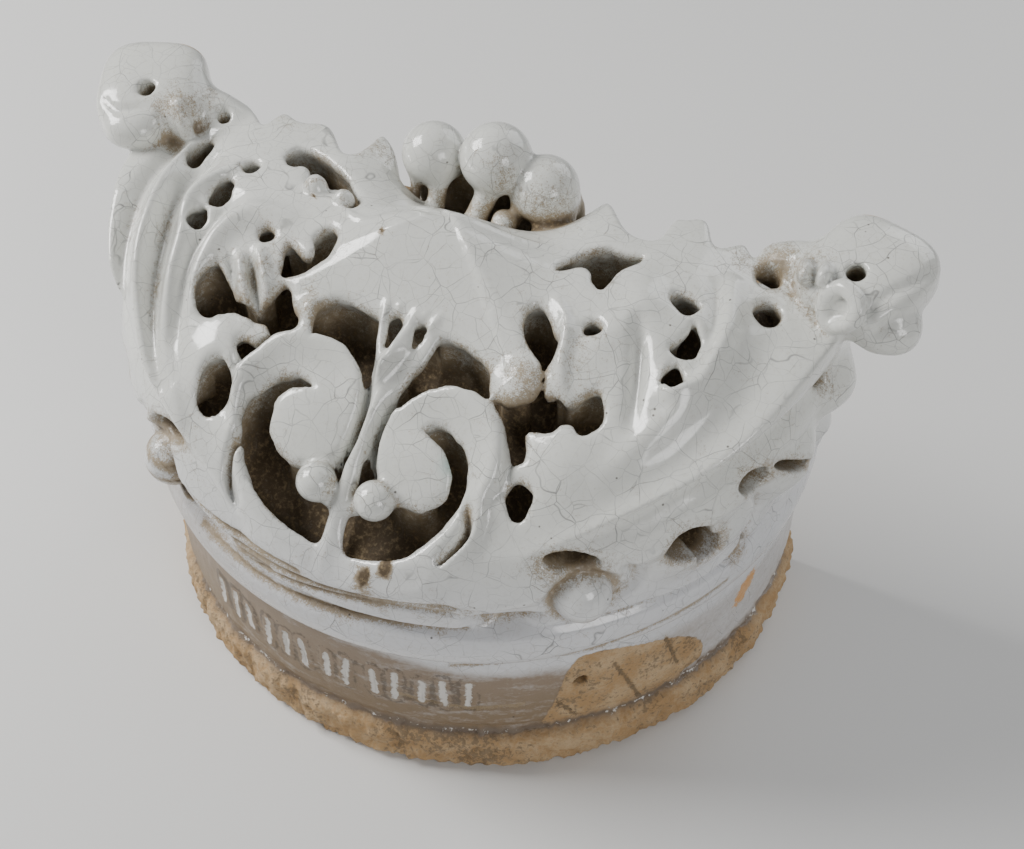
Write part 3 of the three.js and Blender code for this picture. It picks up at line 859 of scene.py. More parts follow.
@dataclass
class CornerPod:
    """A blunt head at a top corner, with its neck, curled underside, knobs and holes."""

    side: Side

    def solids(self) -> list[tuple[Solid, float]]:
        """The pod's forms, each with the width of its fillet."""
        s = self.side.value
        lobe = 1.125 if self.side is Side.RIGHT else 1.08
        ring = [
            (1.005, -0.1, 1.4), (1.041, -0.122, 1.395), (1.054, -0.145, 1.37),
            (1.04, -0.15, 1.335), (1.0, -0.132, 1.3), (0.972, -0.115, 1.32),
            (0.975, -0.1, 1.37), (1.005, -0.1, 1.4)]
        knobs = [
            (rod([(x, y - 0.014, z + 0.016) for x, y, z in ring], [0.023] * 8), 0.006),
            (egg((0.9, -0.066, 1.392), (0.024, 0.055, 0.034), 10, -30), 0.006),
            (egg((0.945, -0.072, 1.402), (0.023, 0.055, 0.034), 5, -30), 0.006),
        ]
        folds = [
            (egg((-1.04, -0.105, 1.33), (0.09, 0.09, 0.062), 20, 0, 2.2), 0.01),
            (rod([(-0.912, -0.06, 1.4), (-0.893, -0.08, 1.365), (-0.89, -0.08, 1.32)],
                 [0.018, 0.02, 0.022]), 0.012),
        ]
        return [
            (egg((s * 1.045, 0.012, 1.352), (0.155, 0.16, 0.088), -20 * s, 14, 3.2), 0.03),
            (egg((s * 0.88, 0.045, 1.3), (0.12, 0.07, 0.08), s * 5), 0.05),
            (egg((s * lobe, -0.075, 1.3), (0.085, 0.08, 0.065), s * 15, 0, 2.4), 0.014),
            *(knobs if self.side is Side.RIGHT else folds),
        ]

    def cuts(self) -> list[Solid]:
        """The pod's holes and creases, and the two holes drilled beside its neck."""
        hole = self.side.value * 1.02
        drills = [rod([(hole, -0.1, 1.5), (hole, 0.0, 1.33)], [0.026, 0.024])]
        if self.side is Side.RIGHT:
            crease = [
                (1.225, 0.07, 1.425), (1.187, -0.004, 1.427), (1.155, -0.05, 1.425),
                (1.127, -0.08, 1.422), (1.1, -0.115, 1.41), (1.078, -0.15, 1.385)]
            drills += [
                rod(crease, [0.011, 0.013, 0.014, 0.014, 0.013, 0.009]),
                rod([(1.15, -0.13, 1.375), (1.132, -0.15, 1.36), (1.11, -0.165, 1.335)],
                    [0.016, 0.02, 0.014]),
                egg((1.008, -0.165, 1.376), (0.024, 0.024, 0.026)),
                rod([(0.923, -0.03, 1.44), (0.922, -0.12, 1.41)], [0.009, 0.012]),
                rod([(0.809, -0.05, 1.42), (0.809, -0.02, 1.2)], [0.029, 0.026]),
                rod([(0.838, -0.165, 1.42), (0.838, -0.14, 1.2)], [0.03, 0.027]),
            ]
        else:
            crease = [
                (-1.12, -0.12, 1.4), (-1.07, -0.145, 1.395), (-1.029, -0.133, 1.4),
                (-0.985, -0.11, 1.41), (-0.945, -0.1, 1.4)]
            drills += [
                rod(crease, [0.008, 0.012, 0.012, 0.012, 0.01]),
                rod([(-0.948, -0.105, 1.395), (-0.928, -0.12, 1.36), (-0.925, -0.115, 1.305)],
                    [0.012, 0.02, 0.016]),
                rod([(-0.825, -0.125, 1.42), (-0.815, -0.1, 1.2)], [0.034, 0.03]),
                rod([(-0.815, 0.0, 1.4), (-0.81, 0.02, 1.2)], [0.02, 0.018]),
            ]
        return drills


@dataclass
class BerryGroup:
    """Three berries on short stalks at the middle of the rear edge, with a small bud."""

    berries: list[tuple[float, float, float, float]] = field(default_factory=lambda: [
        (-0.181, 0.066, 1.352, 0.09), (0.005, 0.066, 1.388, 0.1), (0.148, 0.068, 1.325, 0.096),
    ])

    def solids(self) -> list[tuple[Solid, float]]:
        """The berries, stalks and bud, each with the width of its fillet."""
        forms = [(egg((x, y, z), (r, r, r)), 0.018) for x, y, z, r in self.berries]
        stalks = [
            ((-0.218, 0.02, 1.32), (-0.209, -0.015, 1.19), 0.013),
            ((-0.145, 0.03, 1.33), (-0.147, -0.03, 1.19), 0.024),
            ((0.01, 0.03, 1.34), (-0.035, -0.035, 1.19), 0.03),
            ((0.092, 0.03, 1.33), (0.082, -0.02, 1.2), 0.016),
            ((0.19, 0.05, 1.27), (0.2, -0.03, 1.18), 0.055),
        ]
        forms += [(rod([top, foot], [radius, radius * 1.15]), 0.02) for top, foot, radius in stalks]
        forms.append((egg((0.066, -0.022, 1.255), (0.036, 0.034, 0.034)), 0.008))
        forms.append((egg((-0.01, 0.115, 1.22), (0.26, 0.035, 0.12), 0, 0, 3.0), 0.03))
        return forms


@dataclass
class Surface:
    """The mesh's corner points, and where each lies on the face and on the unrolled wall."""

    places: Array
    depth: Array
    well: Array
    x: Array = field(init=False)
    y: Array = field(init=False)
    z: Array = field(init=False)
    radii: Array = field(init=False)
    arc: Array = field(init=False)
    inside: Array = field(init=False)
    back: Array = field(init=False)
    above: Plan = field(init=False)
    unrolled: Plan = field(init=False)

    def __post_init__(self) -> None:
        """Works out the radius, the arc and the flat maps of the points."""
        self.x, self.y, self.z = self.places.T
        self.radii = np.hypot(self.x, self.y)
        self.arc = np.arctan2(self.x, -self.y)
        self.above = Plan(self.x, self.y)
        self.unrolled = Plan(self.arc, self.z)
        self.inside = 1 - smoothstep(self.radii, 0.95, 0.97)
        self.back = smoothstep(self.y, share(BACK_DEPTH) - 0.03, share(BACK_DEPTH) - 0.012)

    def spot(self, x: float, y: float, reach: float, power: int = 2) -> Array:
        """A spot seen from above, exp(-(d / reach)^power)."""
        return np.exp(-((np.hypot(self.x - x, self.y - y) / reach) ** power))


@dataclass
class Cap:
    """The whole cap: clay field, mesh, and the masks that its finish reads."""

    face: CarvedFace = field(default_factory=CarvedFace)
    wall: DrumWall = field(default_factory=DrumWall)
    berries: BerryGroup = field(default_factory=BerryGroup)
    clay: Clay = field(default_factory=Clay)
    soiled_places: tuple[tuple[float, float, float, float], ...] = (
        (0.33, -0.56, 0.07, 0.34), (-0.93, -0.07, 0.06, 0.32), (-0.87, -0.02, 0.08, 0.24),
        (0.88, -0.06, 0.08, 0.26), (0.82, 0.0, 0.08, 0.24), (0.2, 0.0, 0.08, 0.34),
        (0.06, -0.02, 0.06, 0.25), (-0.44, -0.5, 0.11, 0.25), (0.42, -0.5, 0.09, 0.2),
        (-0.36, 0.03, 0.07, 0.3), (-0.26, -0.53, 0.06, 0.3), (0.72, 0.03, 0.07, 0.2),
        (-0.62, 0.06, 0.06, 0.15))
    chips: tuple[Point3, ...] = (
        (0.087, -0.985, 0.017), (0.135, -0.962, 0.019), (-0.147, -0.33, 0.007),
        (-0.4, -0.235, 0.009))
    patch: tuple[Point2, ...] = (
        (0.53, 0.15), (0.58, 0.26), (0.6, 0.36), (0.64, 0.5), (0.7, 0.515), (0.85, 0.47),
        (0.98, 0.42), (1.07, 0.33), (1.1, 0.2), (0.9, 0.14), (0.7, 0.14))
    thin_arm: tuple[Point2, ...] = (
        (-0.35, -0.74), (-0.335, -0.8), (-0.305, -0.845), (-0.27, -0.885), (-0.22, -0.925),
        (-0.155, -0.96))
    buds: tuple[tuple[Point3, float], ...] = (
        ((-0.412, -0.194, 1.345), 0.034), ((-0.318, -0.214, 1.345), 0.03))
    balls: tuple[float, ...] = (-0.102, 0.062)
    inset: float = 0.0005
    edge_blend: float = 0.014
    wells: Array = field(init=False)
    top: Array = field(init=False)

    def model(self) -> None:
        """Works out the clay field from the face, the wall and the rounded forms."""
        x, y = self.clay.column()
        self.clay.values = self._block(Plan(x.astype(float), y.astype(float)))
        LOG.info("face and wall modelled on %d samples", self.clay.values.size)
        self._add_forms()
        z = self.clay.axes[2][None, None, :]
        back = (self.clay.axes[1] - share(BACK_DEPTH) + self.inset)[None, :, None]
        flat = soft_max(soft_max(self.clay.values, back, 0.012), self.inset - z, 0.008)
        self.clay.values = flat.astype(np.float32)

    def _block(self, plan: Plan) -> Array:
        """The half-round block with its sloping top, its hollows and its toothed rear edge.

        It is the larger of the distance over the face, divided by sqrt(1 + slope^2), and the
        distance outside the wall. A hollow is taken away as the larger of the block and minus
        the hollow, with rounded edges.

        Args:
            plan: X and Y of each column of samples.

        Returns:
            The signed distances.
        """
        z = self.clay.axes[2][None, None, :]
        rounds = np.hypot(plan.u, plan.v)[..., None].astype(np.float32)
        self.top = self.face.ground(plan.u, plan.v) + self.face.relief(plan)
        self.top += 0.004 * smooth_noise(self.top.shape, (22, 11), 7)
        slope = np.hypot(*np.gradient(self.top, self.clay.step))
        steep = np.sqrt(1 + np.minimum(slope, 2.5) ** 2).astype(np.float32)
        upper = (z - self.top[..., None].astype(np.float32)) / steep[..., None]

        radius, holes = self.wall.wrapped(plan, self.clay.axes[2].astype(float))
        body = soft_max(upper, rounds - radius, self.edge_blend)
        sunk = soft_max(holes, 0.86 - rounds, 0.02)
        body = soft_max(body, -sunk, self.edge_blend)
        arm, _ = plan.line(self.thin_arm)
        near_arm = np.exp(-((arm / 0.05) ** 2)) * (np.hypot(plan.u, plan.v) < 0.94)
        rounding = (0.02 + 0.03 * near_arm)[..., None].astype(np.float32)
        body = soft_max(body, -self._face_hollows(plan, rounds), rounding)
        edge = plan.outline(self.face.rear_edge, 3)[..., None].astype(np.float32)
        return soft_max(body, np.minimum(edge, z - 1.13), 0.018).astype(np.float32)

    def _face_hollows(self, plan: Plan, rounds: Array) -> Array:
        """The hollows of the face, wider below the rim and with a rough floor.

        The distance is the larger of the distance in plan less the undercut, the distance past
        the inner side of the wall, and the distance under the floor.

        Args:
            plan: X and Y of each column of samples.
            rounds: distance of each column from the axis.

        Returns:
            The signed distances.
        """
        z = self.clay.axes[2][None, None, :]
        rough_floor = 0.02 * smooth_noise(self.top.shape, (60, 30), 9)
        floor = self.face.ground(plan.u, plan.v) - self.face.well_depth + rough_floor
        wander = 0.004 * smooth_noise(self.top.shape, (150, 75), 11)
        self.wells = self.face.hollows(plan)
        hollow = (self.wells + wander)[..., None].astype(np.float32)
        undercut = 0.03 * smoothstep(self.top[..., None].astype(np.float32) - z, 0.01, 0.1)
        hollow = soft_max(hollow - undercut, rounds - 0.952, 0.02)
        return soft_max(hollow, (floor[..., None] - z).astype(np.float32), 0.04)

    def _add_forms(self) -> None:
        """Adds the berries, buds, balls, flank berries and pods, and drills the fixing hole."""
        clay = self.clay
        for solid, blend in self.berries.solids():
            clay.add(solid, blend)
        for middle, size in self.buds:
            clay.add(egg(middle, (size, size, 1.3 * size)), 0.01)
        for x in self.balls:
            clay.add(egg((x, -0.853, 0.985), (0.053, 0.053, 0.053)), 0.012)
            clay.add(rod([(x, -0.85, 0.96), (-0.03, -0.87, 0.93)], [0.022, 0.022]), 0.01)
        for side in Side:
            s = side.value
            clay.cut(egg((s * 0.62, -0.82, 0.805), (0.105, 0.06, 0.108), s * 37), 0.03)
            clay.add(egg((s * 0.598, -0.786, 0.8), (0.079, 0.079, 0.082), s * 37), 0.008)
            pod = CornerPod(side)
            for solid, blend in pod.solids():
                clay.add(solid, blend)
            for solid in pod.cuts():
                clay.cut(solid)
        clay.cut(rod([(0.66, -0.84, 0.375), (0.55, -0.7, 0.375)], [0.02, 0.02]))

    def mesh(self) -> bpy.types.Object:
        """Builds the cap's mesh from the clay field and thins it to the triangle limit.

        Returns:
            The object, at the origin, with its place in its mesh.
        """
        places, quads = self.clay.skin()
        data = bpy.data.meshes.new("glazed_cap_skin")
        data.vertices.add(len(places))
        data.vertices.foreach_set("co", (places * DRUM_RADIUS).astype(np.float32).ravel())
        data.loops.add(quads.size)
        data.loops.foreach_set("vertex_index", quads.astype(np.int32).ravel())
        data.polygons.add(len(quads))
        data.polygons.foreach_set("loop_start", np.arange(0, quads.size, 4, dtype=np.int32))
        data.update(calc_edges=True)
        data.validate()
        raw = bpy.data.objects.new("raw_skin", data)
        bpy.context.collection.objects.link(raw)
        thin = raw.modifiers.new("thin", "DECIMATE")
        thin.ratio = min(1.0, TRIANGLE_LIMIT / (2 * len(quads)))
        evaluated = raw.evaluated_get(bpy.context.evaluated_depsgraph_get())
        thinned = bpy.data.meshes.new_from_object(evaluated)
        bpy.data.objects.remove(raw)
        thinned.name = "glazed_cap_surface"
        thinned.shade_smooth()
        cap = bpy.data.objects.new("glazed_cap_dressed", thinned)
        bpy.context.collection.objects.link(cap)
        LOG.info("skin of %d quads thinned to %d faces", len(quads), len(thinned.polygons))
        return cap

    def masks(self, cap: bpy.types.Object) -> None:
        """Stores on each corner point of the mesh how hollow, bare, washed and stained it is, with
        dirt and painted shade in the hollow number and painted shadow round the marks.

        Args:
            cap: the cap's object.
        """
        mesh = cap.data
        places = np.empty(3 * len(mesh.vertices), dtype=np.float32)
        mesh.vertices.foreach_get("co", places)
        places = places.reshape(-1, 3).astype(float) / DRUM_RADIUS
        depth = self.clay.sample_flat(self.top, places) - places[:, 2]
        skin = Surface(places, depth, self.clay.sample_flat(self.wells, places))
        patch = skin.unrolled.outline(self.patch, 3)
        bare = np.maximum(1 - smoothstep(skin.z, 0.13, 0.19), 1 - smoothstep(patch, -0.02, 0.015))
        slant = (skin.arc - 1.25 - 0.4 * (skin.z - 0.4)) / 0.05
        mark = self.wall.marks(skin.unrolled)
        layers = {
            # Dirt, and painted shade in crevices, in hollows and under the middle berries
            "hollow": self._dirt_and_shade(skin),
            "bare": np.maximum(bare, skin.back),
            "wash": self._wash(skin),
            "stain": np.exp(-(slant**2) - ((skin.z - 0.4) / 0.07) ** 2),
            "mark": np.exp(-((mark / 0.015) ** 2)),
            # Painted shadow: a dark ring just outside each raised stroke of the setting marks
            "shadow_black": np.exp(-(((mark - 0.028) / 0.012) ** 2)),
            "ledge": np.exp(-(((skin.z - 0.17) / 0.014) ** 2)) * (1 - skin.back),
            "tint": skin.spot(0.222, -0.748, 0.022) * (skin.z > 0.95),
        }
        for name, values in layers.items():
            layer = mesh.attributes.new(name, "FLOAT", "POINT")
            layer.data.foreach_set("value", values.astype(np.float32))

    def _dirt_and_shade(self, skin: Surface) -> Array:
        """How much old dirt and painted shade lie at each point.

        It grows with the share of clay around the point and with the depth in a hollow, which stand
        for crevice dirt and for painted shade, and gets spots and bands of exp(-(d / reach)^2) at
        soiled places, rims, folds and scratches. A band under the middle berries is painted shadow.

        Args:
            skin: the mesh's points.

        Returns:
            The amounts, 0 on clean glaze and 1 in a deep hollow.
        """
        # Darker where more clay is around and deeper in a hollow: crevice dirt and painted shade
        near = self.clay.sample(self.clay.closeness(0.035), skin.places)
        wide = self.clay.sample(self.clay.closeness(0.1), skin.places)
        sunk = smoothstep(skin.depth, 0.0, 0.17) * (1 - smoothstep(skin.well, 0.02, 0.05))
        dirt_and_shade = np.clip(1.6 * (near - 0.52) + 1.2 * (wide - 0.55), 0, 0.5)
        dirt_and_shade = np.maximum(dirt_and_shade, sunk * skin.inside)
        for x, y, reach, amount in self.soiled_places:
            dirt_and_shade += amount * skin.spot(x, y, reach) * smoothstep(skin.z, 0.9, 1.0)
        # Painted shadow: darkens the stalks, the bud, the backing web and the undersides of the
        # middle berries
        shadow_under_berries = smoothstep(skin.y, -0.05, 0.0) * (1 - smoothstep(skin.z, 1.26, 1.33))
        dirt_and_shade += 0.7 * shadow_under_berries * (1 - smoothstep(np.abs(skin.x), 0.22, 0.3))
        dirt_and_shade += self._wall_dirt_and_shade(skin)
        dirt_and_shade *= 1 - skin.back
        dirt_and_shade += 0.36 * np.exp(-(((skin.well + 0.003) / 0.011) ** 2)) * skin.inside
        for slit in self.face.slits:
            away, _ = skin.above.line(slit)
            dirt_and_shade += 0.6 * np.exp(-((away / 0.011) ** 2)) * skin.inside
        for x, y, reach in self.chips:
            dirt_and_shade += 1.2 * skin.spot(x, y, reach, 6) * (skin.depth < 0.03)
        return dirt_and_shade

    def _wall_dirt_and_shade(self, skin: Surface) -> Array:
        """How much dirt and painted shade the wall's holes, folds, scoops, berry moats and
        scratches hold.
        """
        pierced = self.wall.hollows(skin.unrolled)
        within = 1 - smoothstep(skin.radii, 0.93, 1.0)
        dirt_and_shade = 0.8 * (1 - smoothstep(pierced, -0.01, 0.02)) * within
        dirt_and_shade += 0.35 * np.exp(-((pierced / 0.03) ** 2)) * (skin.radii > 0.9) * (skin.z > 0.6)
        for line in self.wall.folds:
            away, _ = skin.unrolled.line(line)
            soil = 0.5 * np.exp(-((away / 0.008) ** 2)) + 0.2 * np.exp(-((away / 0.03) ** 2))
            dirt_and_shade += soil * (skin.radii > 0.97) * (1 - 0.6 * smoothstep(skin.arc, 0.0, 0.4))
        for side in Side:
            arc, height = self.wall.scoop
            scoop = skin.unrolled.ring((side.value * arc, height), (0.11, 0.035))
            dirt_and_shade += 0.5 * (1 - smoothstep(scoop, -0.03, 0.012)) * (skin.radii > 0.9)
            moat = np.abs(skin.unrolled.ring((side.value * 0.655, 0.8), (0.095, 0.095)))
            dirt_and_shade += 0.4 * np.exp(-((moat / 0.02) ** 2)) * (skin.radii > 0.95)
        for line in self.wall.scratches:
            away, _ = skin.unrolled.line(line)
            dirt_and_shade += 0.6 * np.exp(-((away / 0.009) ** 2)) * (skin.radii > 0.9)
        return dirt_and_shade

    def _wash(self, skin: Surface) -> Array:
        """How much brown slip shows: on the band round the marks, and in a haze to the left."""
        arc, z = skin.arc, skin.z
        limit = share(BAND_TOP) + 0.02 - 0.07 * smoothstep(arc, 0.0, 0.4)
        wash = (1 - smoothstep(z, limit - 0.06, limit + 0.01)) * (1 - skin.back)
        wash *= 0.35 + 0.65 * (1 - smoothstep(arc, 0.5, 1.2))
        wash *= 0.55 + 0.45 * smoothstep(arc, -1.2, -0.6)
        haze = 0.7 * np.exp(-(((arc + 0.7) / 0.45) ** 2))
        return wash + haze * (1 - smoothstep(z, 0.5, 0.82)) * smoothstep(z, 0.2, 0.5)


Input = Union[float, "Value"]


class Value:
    """A number socket of a material; arithmetic on it adds Math nodes."""

    def __init__(self, tree: "Tree", socket: bpy.types.NodeSocket) -> None:
        """Keeps the socket and the tree that it is in."""
        self.tree = tree
        self.socket = socket

    def _math(self, operation: str, *values: Input) -> "Value":
        """Adds one Math node on the given values."""
        node = self.tree.node("ShaderNodeMath", {"operation": operation}, dict(enumerate(values)))
        return Value(self.tree, node.outputs[0])

    def __add__(self, other: Input) -> "Value":
        """Sum."""
        return self._math("ADD", self, other)

    def __radd__(self, other: Input) -> "Value":
        """Sum with a number on the left."""
        return self._math("ADD", other, self)

    def __sub__(self, other: Input) -> "Value":
        """Difference."""
        return self._math("SUBTRACT", self, other)

    def __rsub__(self, other: Input) -> "Value":
        """Difference from a number on the left."""
        return self._math("SUBTRACT", other, self)

    def __mul__(self, other: Input) -> "Value":
        """Product."""
        return self._math("MULTIPLY", self, other)

    def __rmul__(self, other: Input) -> "Value":
        """Product with a number on the left."""
        return self._math("MULTIPLY", other, self)

    def clamp(self) -> "Value":
        """The value kept between 0 and 1."""
        node = self.tree.node("ShaderNodeClamp", {}, {"Value": self})
        return Value(self.tree, node.outputs[0])

    def larger(self, other: Input) -> "Value":
        """The larger of two values."""
        return self._math("MAXIMUM", self, other)

    def step(self, low: float, high: float) -> "Value":
        """Eased rise from 0 at low to 1 at high."""
        node = self.tree.node(
            "ShaderNodeMapRange", {"interpolation_type": "SMOOTHSTEP"},
            {"Value": self, "From Min": low, "From Max": high})
        return Value(self.tree, node.outputs["Result"])


Colour = tuple[float, float, float]


class Tree:
    """Builds the nodes of one material."""

    def __init__(self, name: str) -> None:
        """Makes an empty material of the given name."""
        self.material = bpy.data.materials.new(name)
        self.material.use_nodes = True
        self.nodes = self.material.node_tree.nodes
        self.links = self.material.node_tree.links
        self.nodes.clear()

    def node(self, kind: str, settings: dict[str, Any], inputs: dict[Any, Any]) -> bpy.types.Node:
        """Adds a node.

        Args:
            kind: the node's type.
            settings: its properties, set first.
            inputs: values or sockets by the input's name or number.

        Returns:
            The node.
        """
        made = self.nodes.new(kind)
        for name, value in settings.items():
            setattr(made, name, value)
        for name, value in inputs.items():
            if isinstance(value, Value):
                self.links.new(value.socket, made.inputs[name])
            elif isinstance(value, bpy.types.NodeSocket):
                self.links.new(value, made.inputs[name])
            else:
                made.inputs[name].default_value = value
        return made

    def place(self) -> bpy.types.NodeSocket:
        """The object coordinates."""
        return self.node("ShaderNodeTexCoord", {}, {}).outputs["Object"]

    def attribute(self, name: str) -> Value:
        """A number stored on the mesh."""
        made = self.node("ShaderNodeAttribute", {"attribute_name": name}, {})
        return Value(self, made.outputs["Fac"])

    def noise(
        self, place: bpy.types.NodeSocket, scale: float, detail: float = 3.0, rough: float = 0.55
    ) -> Value:
        """Noise between 0 and 1, with scale in cells per metre."""
        made = self.node("ShaderNodeTexNoise", {}, {
            "Vector": place, "Scale": scale, "Detail": detail, "Roughness": rough})
        return Value(self, made.outputs["Fac"])

    def mix(
        self, factor: Input, first: Any, second: Any, blend: str = "MIX"
    ) -> bpy.types.NodeSocket:
        """Mixes two colours.

        Args:
            factor: share of the second colour.
            first: colour or socket.
            second: colour or socket.
            blend: the way of mixing.

        Returns:
            The mixed colour's socket.
        """
        made = self.nodes.new("ShaderNodeMix")
        made.data_type = "RGBA"
        made.blend_type = blend
        for index, value in ((0, factor), (6, first), (7, second)):
            if isinstance(value, Value):
                self.links.new(value.socket, made.inputs[index])
            elif isinstance(value, bpy.types.NodeSocket):
                self.links.new(value, made.inputs[index])
            elif index:
                made.inputs[index].default_value = (*value, 1.0)
            else:
                made.inputs[index].default_value = value
        return made.outputs[2]


@dataclass(frozen=True)
class GlazedClay:
    """Crazed off-white gloss glaze over buff fired clay, with old dirt and painted shade in its
    hollows, and a painted cool reflection on its upright wall.
    """

    glaze: Colour = (0.635, 0.645, 0.60)
    glaze_light: Colour = (0.735, 0.74, 0.70)
    # Painted cool reflection and shade: a darker bluish white for the upright wall
    glaze_cool_reflection: Colour = (0.59, 0.595, 0.625)
    craze: Colour = (0.12, 0.12, 0.12)
    copper: Colour = (0.25, 0.52, 0.48)
    # Dirt, and painted shade in hollows and crevices
    dirt_and_shade: Colour = (0.085, 0.058, 0.03)
    # Dust, and lighter painted shade on the walls of hollows
    dust_and_shade: Colour = (0.29, 0.215, 0.12)
    # Near-black of the painted shadow round the marks; the pin holes take it too
    shadow_black: Colour = (0.05, 0.038, 0.026)
    clay: Colour = (0.38, 0.235, 0.105)
    clay_pale: Colour = (0.50, 0.36, 0.21)
    slip: Colour = (0.24, 0.18, 0.125)
    slip_tan: Colour = (0.195, 0.135, 0.075)
    grey: Colour = (0.16, 0.12, 0.085)
    chalk: Colour = (0.68, 0.66, 0.62)
    orange: Colour = (0.55, 0.25, 0.035)
    cell: float = 0.0085

    def material(self) -> bpy.types.Material:
        """Builds the finish.

        Crazing is 1 where the distance to a cell's edge is small, dirt and painted shade follow the
        mesh's hollow number with noise at its edge, the upright wall gets a painted cool
        reflection, and bare clay and wash follow the mesh's own masks.

        Returns:
            The material.
        """
        tree = Tree("crazed_glaze_on_fired_clay")
        place = tree.place()
        broad, middle = tree.noise(place, 13.0, 2.0), tree.noise(place, 70.0)
        patchy = tree.noise(place, 32.0, 3.0, 0.6)
        fine, grain = tree.noise(place, 420.0, 4.0, 0.65), tree.noise(place, 1500.0, 3.0, 0.7)
        hollow, bare = tree.attribute("hollow"), tree.attribute("bare")
        wash, stain = tree.attribute("wash"), tree.attribute("stain")
        mark, shadow_black, ledge = tree.attribute("mark"), tree.attribute("shadow_black"), tree.attribute("ledge")
        height = Value(tree, tree.node("ShaderNodeSeparateXYZ", {}, {0: place}).outputs["Z"])

        craze = self._craze(tree, place, middle)
        pits = self._pits(tree, place)
        # Dirt and painted shade in hollows and crevices, from the mesh's hollow number
        soiled_and_shaded = (hollow + (fine - 0.5) * 0.9 + (patchy - 0.5) * 0.8).step(0.45, 1.0)
        specked = (grain - 0.5) * 1.5 + (fine - 0.5) * 0.8 + (middle - 0.5) * 0.7
        # Dust and lighter painted shade on hollow walls, from the same number
        dusty_and_shaded = (hollow + specked).step(0.2, 0.55)
        # Mask of the painted cool reflection on the upright wall
        low = 1.0 - height.step(0.11, 0.19)
        naked = (bare + (fine - 0.5) * 0.5 + (middle - 0.5) * 0.3).step(0.4, 0.6)
        streaks = tree.noise(self._stretched(tree, place), 60.0, 4.0, 0.7)
        washed = (wash * (0.3 + 1.4 * streaks) + (fine - 0.5) * 0.5).clamp()
        lit = (mark + (fine - 0.5) * 1.3 + (middle - 0.5) * 0.8).step(0.5, 0.8)
        # Painted shadow just outside the raised strokes, where the slip wash lies, kept off the
        # strokes
        letter_shadow = (shadow_black * wash + (fine - 0.5) * 1.6 + (patchy - 0.5)).step(0.7, 1.1) * (1.0 - lit)

        colour = tree.mix(broad, self.glaze, self.glaze_light)
        # Painted cool reflection and shade: below about 0.11 m the upright wall turns darker and
        # bluish, fading out by 0.19 m
        colour = tree.mix(low * 0.8, colour, self.glaze_cool_reflection)
        colour = tree.mix(tree.attribute("tint") * 0.4, colour, self.copper)
        colour = tree.mix(craze, colour, self.craze)
        tan = 1.0 - height.step(0.04, 0.085)
        slip = tree.mix(tan, self.slip, self.slip_tan)
        colour = tree.mix(washed, colour, slip)
        # Painted shadow round the raised strokes
        colour = tree.mix(letter_shadow * 0.6, colour, self.shadow_black)
        colour = tree.mix(dusty_and_shaded * 0.85, colour, self.dust_and_shade)
        colour = tree.mix(soiled_and_shaded, colour, tree.mix(fine.step(0.45, 0.75), self.dirt_and_shade, self.dust_and_shade))
        colour = tree.mix(pits, colour, self.shadow_black)
        colour = tree.mix((stain + (fine - 0.5) * 1.1).step(0.5, 0.6), colour, self.orange)
        clay = tree.mix((0.5 * middle + 0.5 * fine).step(0.4, 0.62), self.clay, self.clay_pale)
        clay = tree.mix((patchy + (fine - 0.5) * 1.4).step(0.52, 0.72) * 0.65, clay, self.dirt_and_shade)
        # Bare clay darkened in its hollows: dirt and painted shade
        clay = tree.mix((hollow + (fine - 0.5) * 1.2).step(0.2, 0.5) * 0.7, clay, self.dirt_and_shade)
        clay = tree.mix((1.0 - grain).step(0.5, 0.72) * 0.6, clay, self.dust_and_shade)
        colour = tree.mix(naked, colour, clay)
        colour = tree.mix((ledge * 1.3 * (0.4 + patchy)).clamp(), colour, self.grey)
        specks = (ledge * 0.5 + (fine - 0.5) * 2.2 + (middle - 0.5)).step(0.62, 0.75)
        colour = tree.mix(specks * ledge.larger(naked * 0.3), colour, self.chalk)
        colour = tree.mix(lit * 0.85, colour, self.chalk)

        dull = soiled_and_shaded.larger(naked).larger(dusty_and_shaded * 0.5).larger(washed * 0.75)
        roughness = 0.12 + 0.09 * middle + 0.62 * dull
        # Cracks, pin holes and streaks are too shallow to see, and would be slow in the relief
        soiled_relief = (hollow + (fine - 0.5) * 0.9).step(0.45, 1.0)
        washed_relief = (wash + (fine - 0.5) * 0.5).clamp()
        coarse = soiled_relief.larger(naked).larger(dusty_and_shaded * 0.5).larger(washed_relief * 0.75)
        relief = (
            broad * 0.4 + middle * 0.14 + coarse * (fine * 0.45 + grain * 0.2)
            + naked * (fine * 1.3 + middle * 0.5) + lit * 0.35
        )
        bump = tree.node("ShaderNodeBump", {}, {
            "Strength": 0.5, "Distance": 0.0018, "Height": relief})
        shader = tree.node("ShaderNodeBsdfPrincipled", {}, {
            "Base Color": colour, "Roughness": roughness, "Coat Weight": (1.0 - dull) * 0.6,
            "Normal": bump.outputs["Normal"], "Coat Roughness": 0.06, "IOR": 1.5, "Metallic": 0.0})
        tree.node("ShaderNodeOutputMaterial", {}, {"Surface": shader.outputs[0]})
        return tree.material

    def _stretched(self, tree: Tree, place: bpy.types.NodeSocket) -> bpy.types.NodeSocket:
        """The place squeezed along the height, which draws noise out level into streaks."""
        made = tree.node("ShaderNodeVectorMath", {"operation": "MULTIPLY"}, {
            0: place, 1: (0.8, 0.8, 3.2)})
        return made.outputs[0]

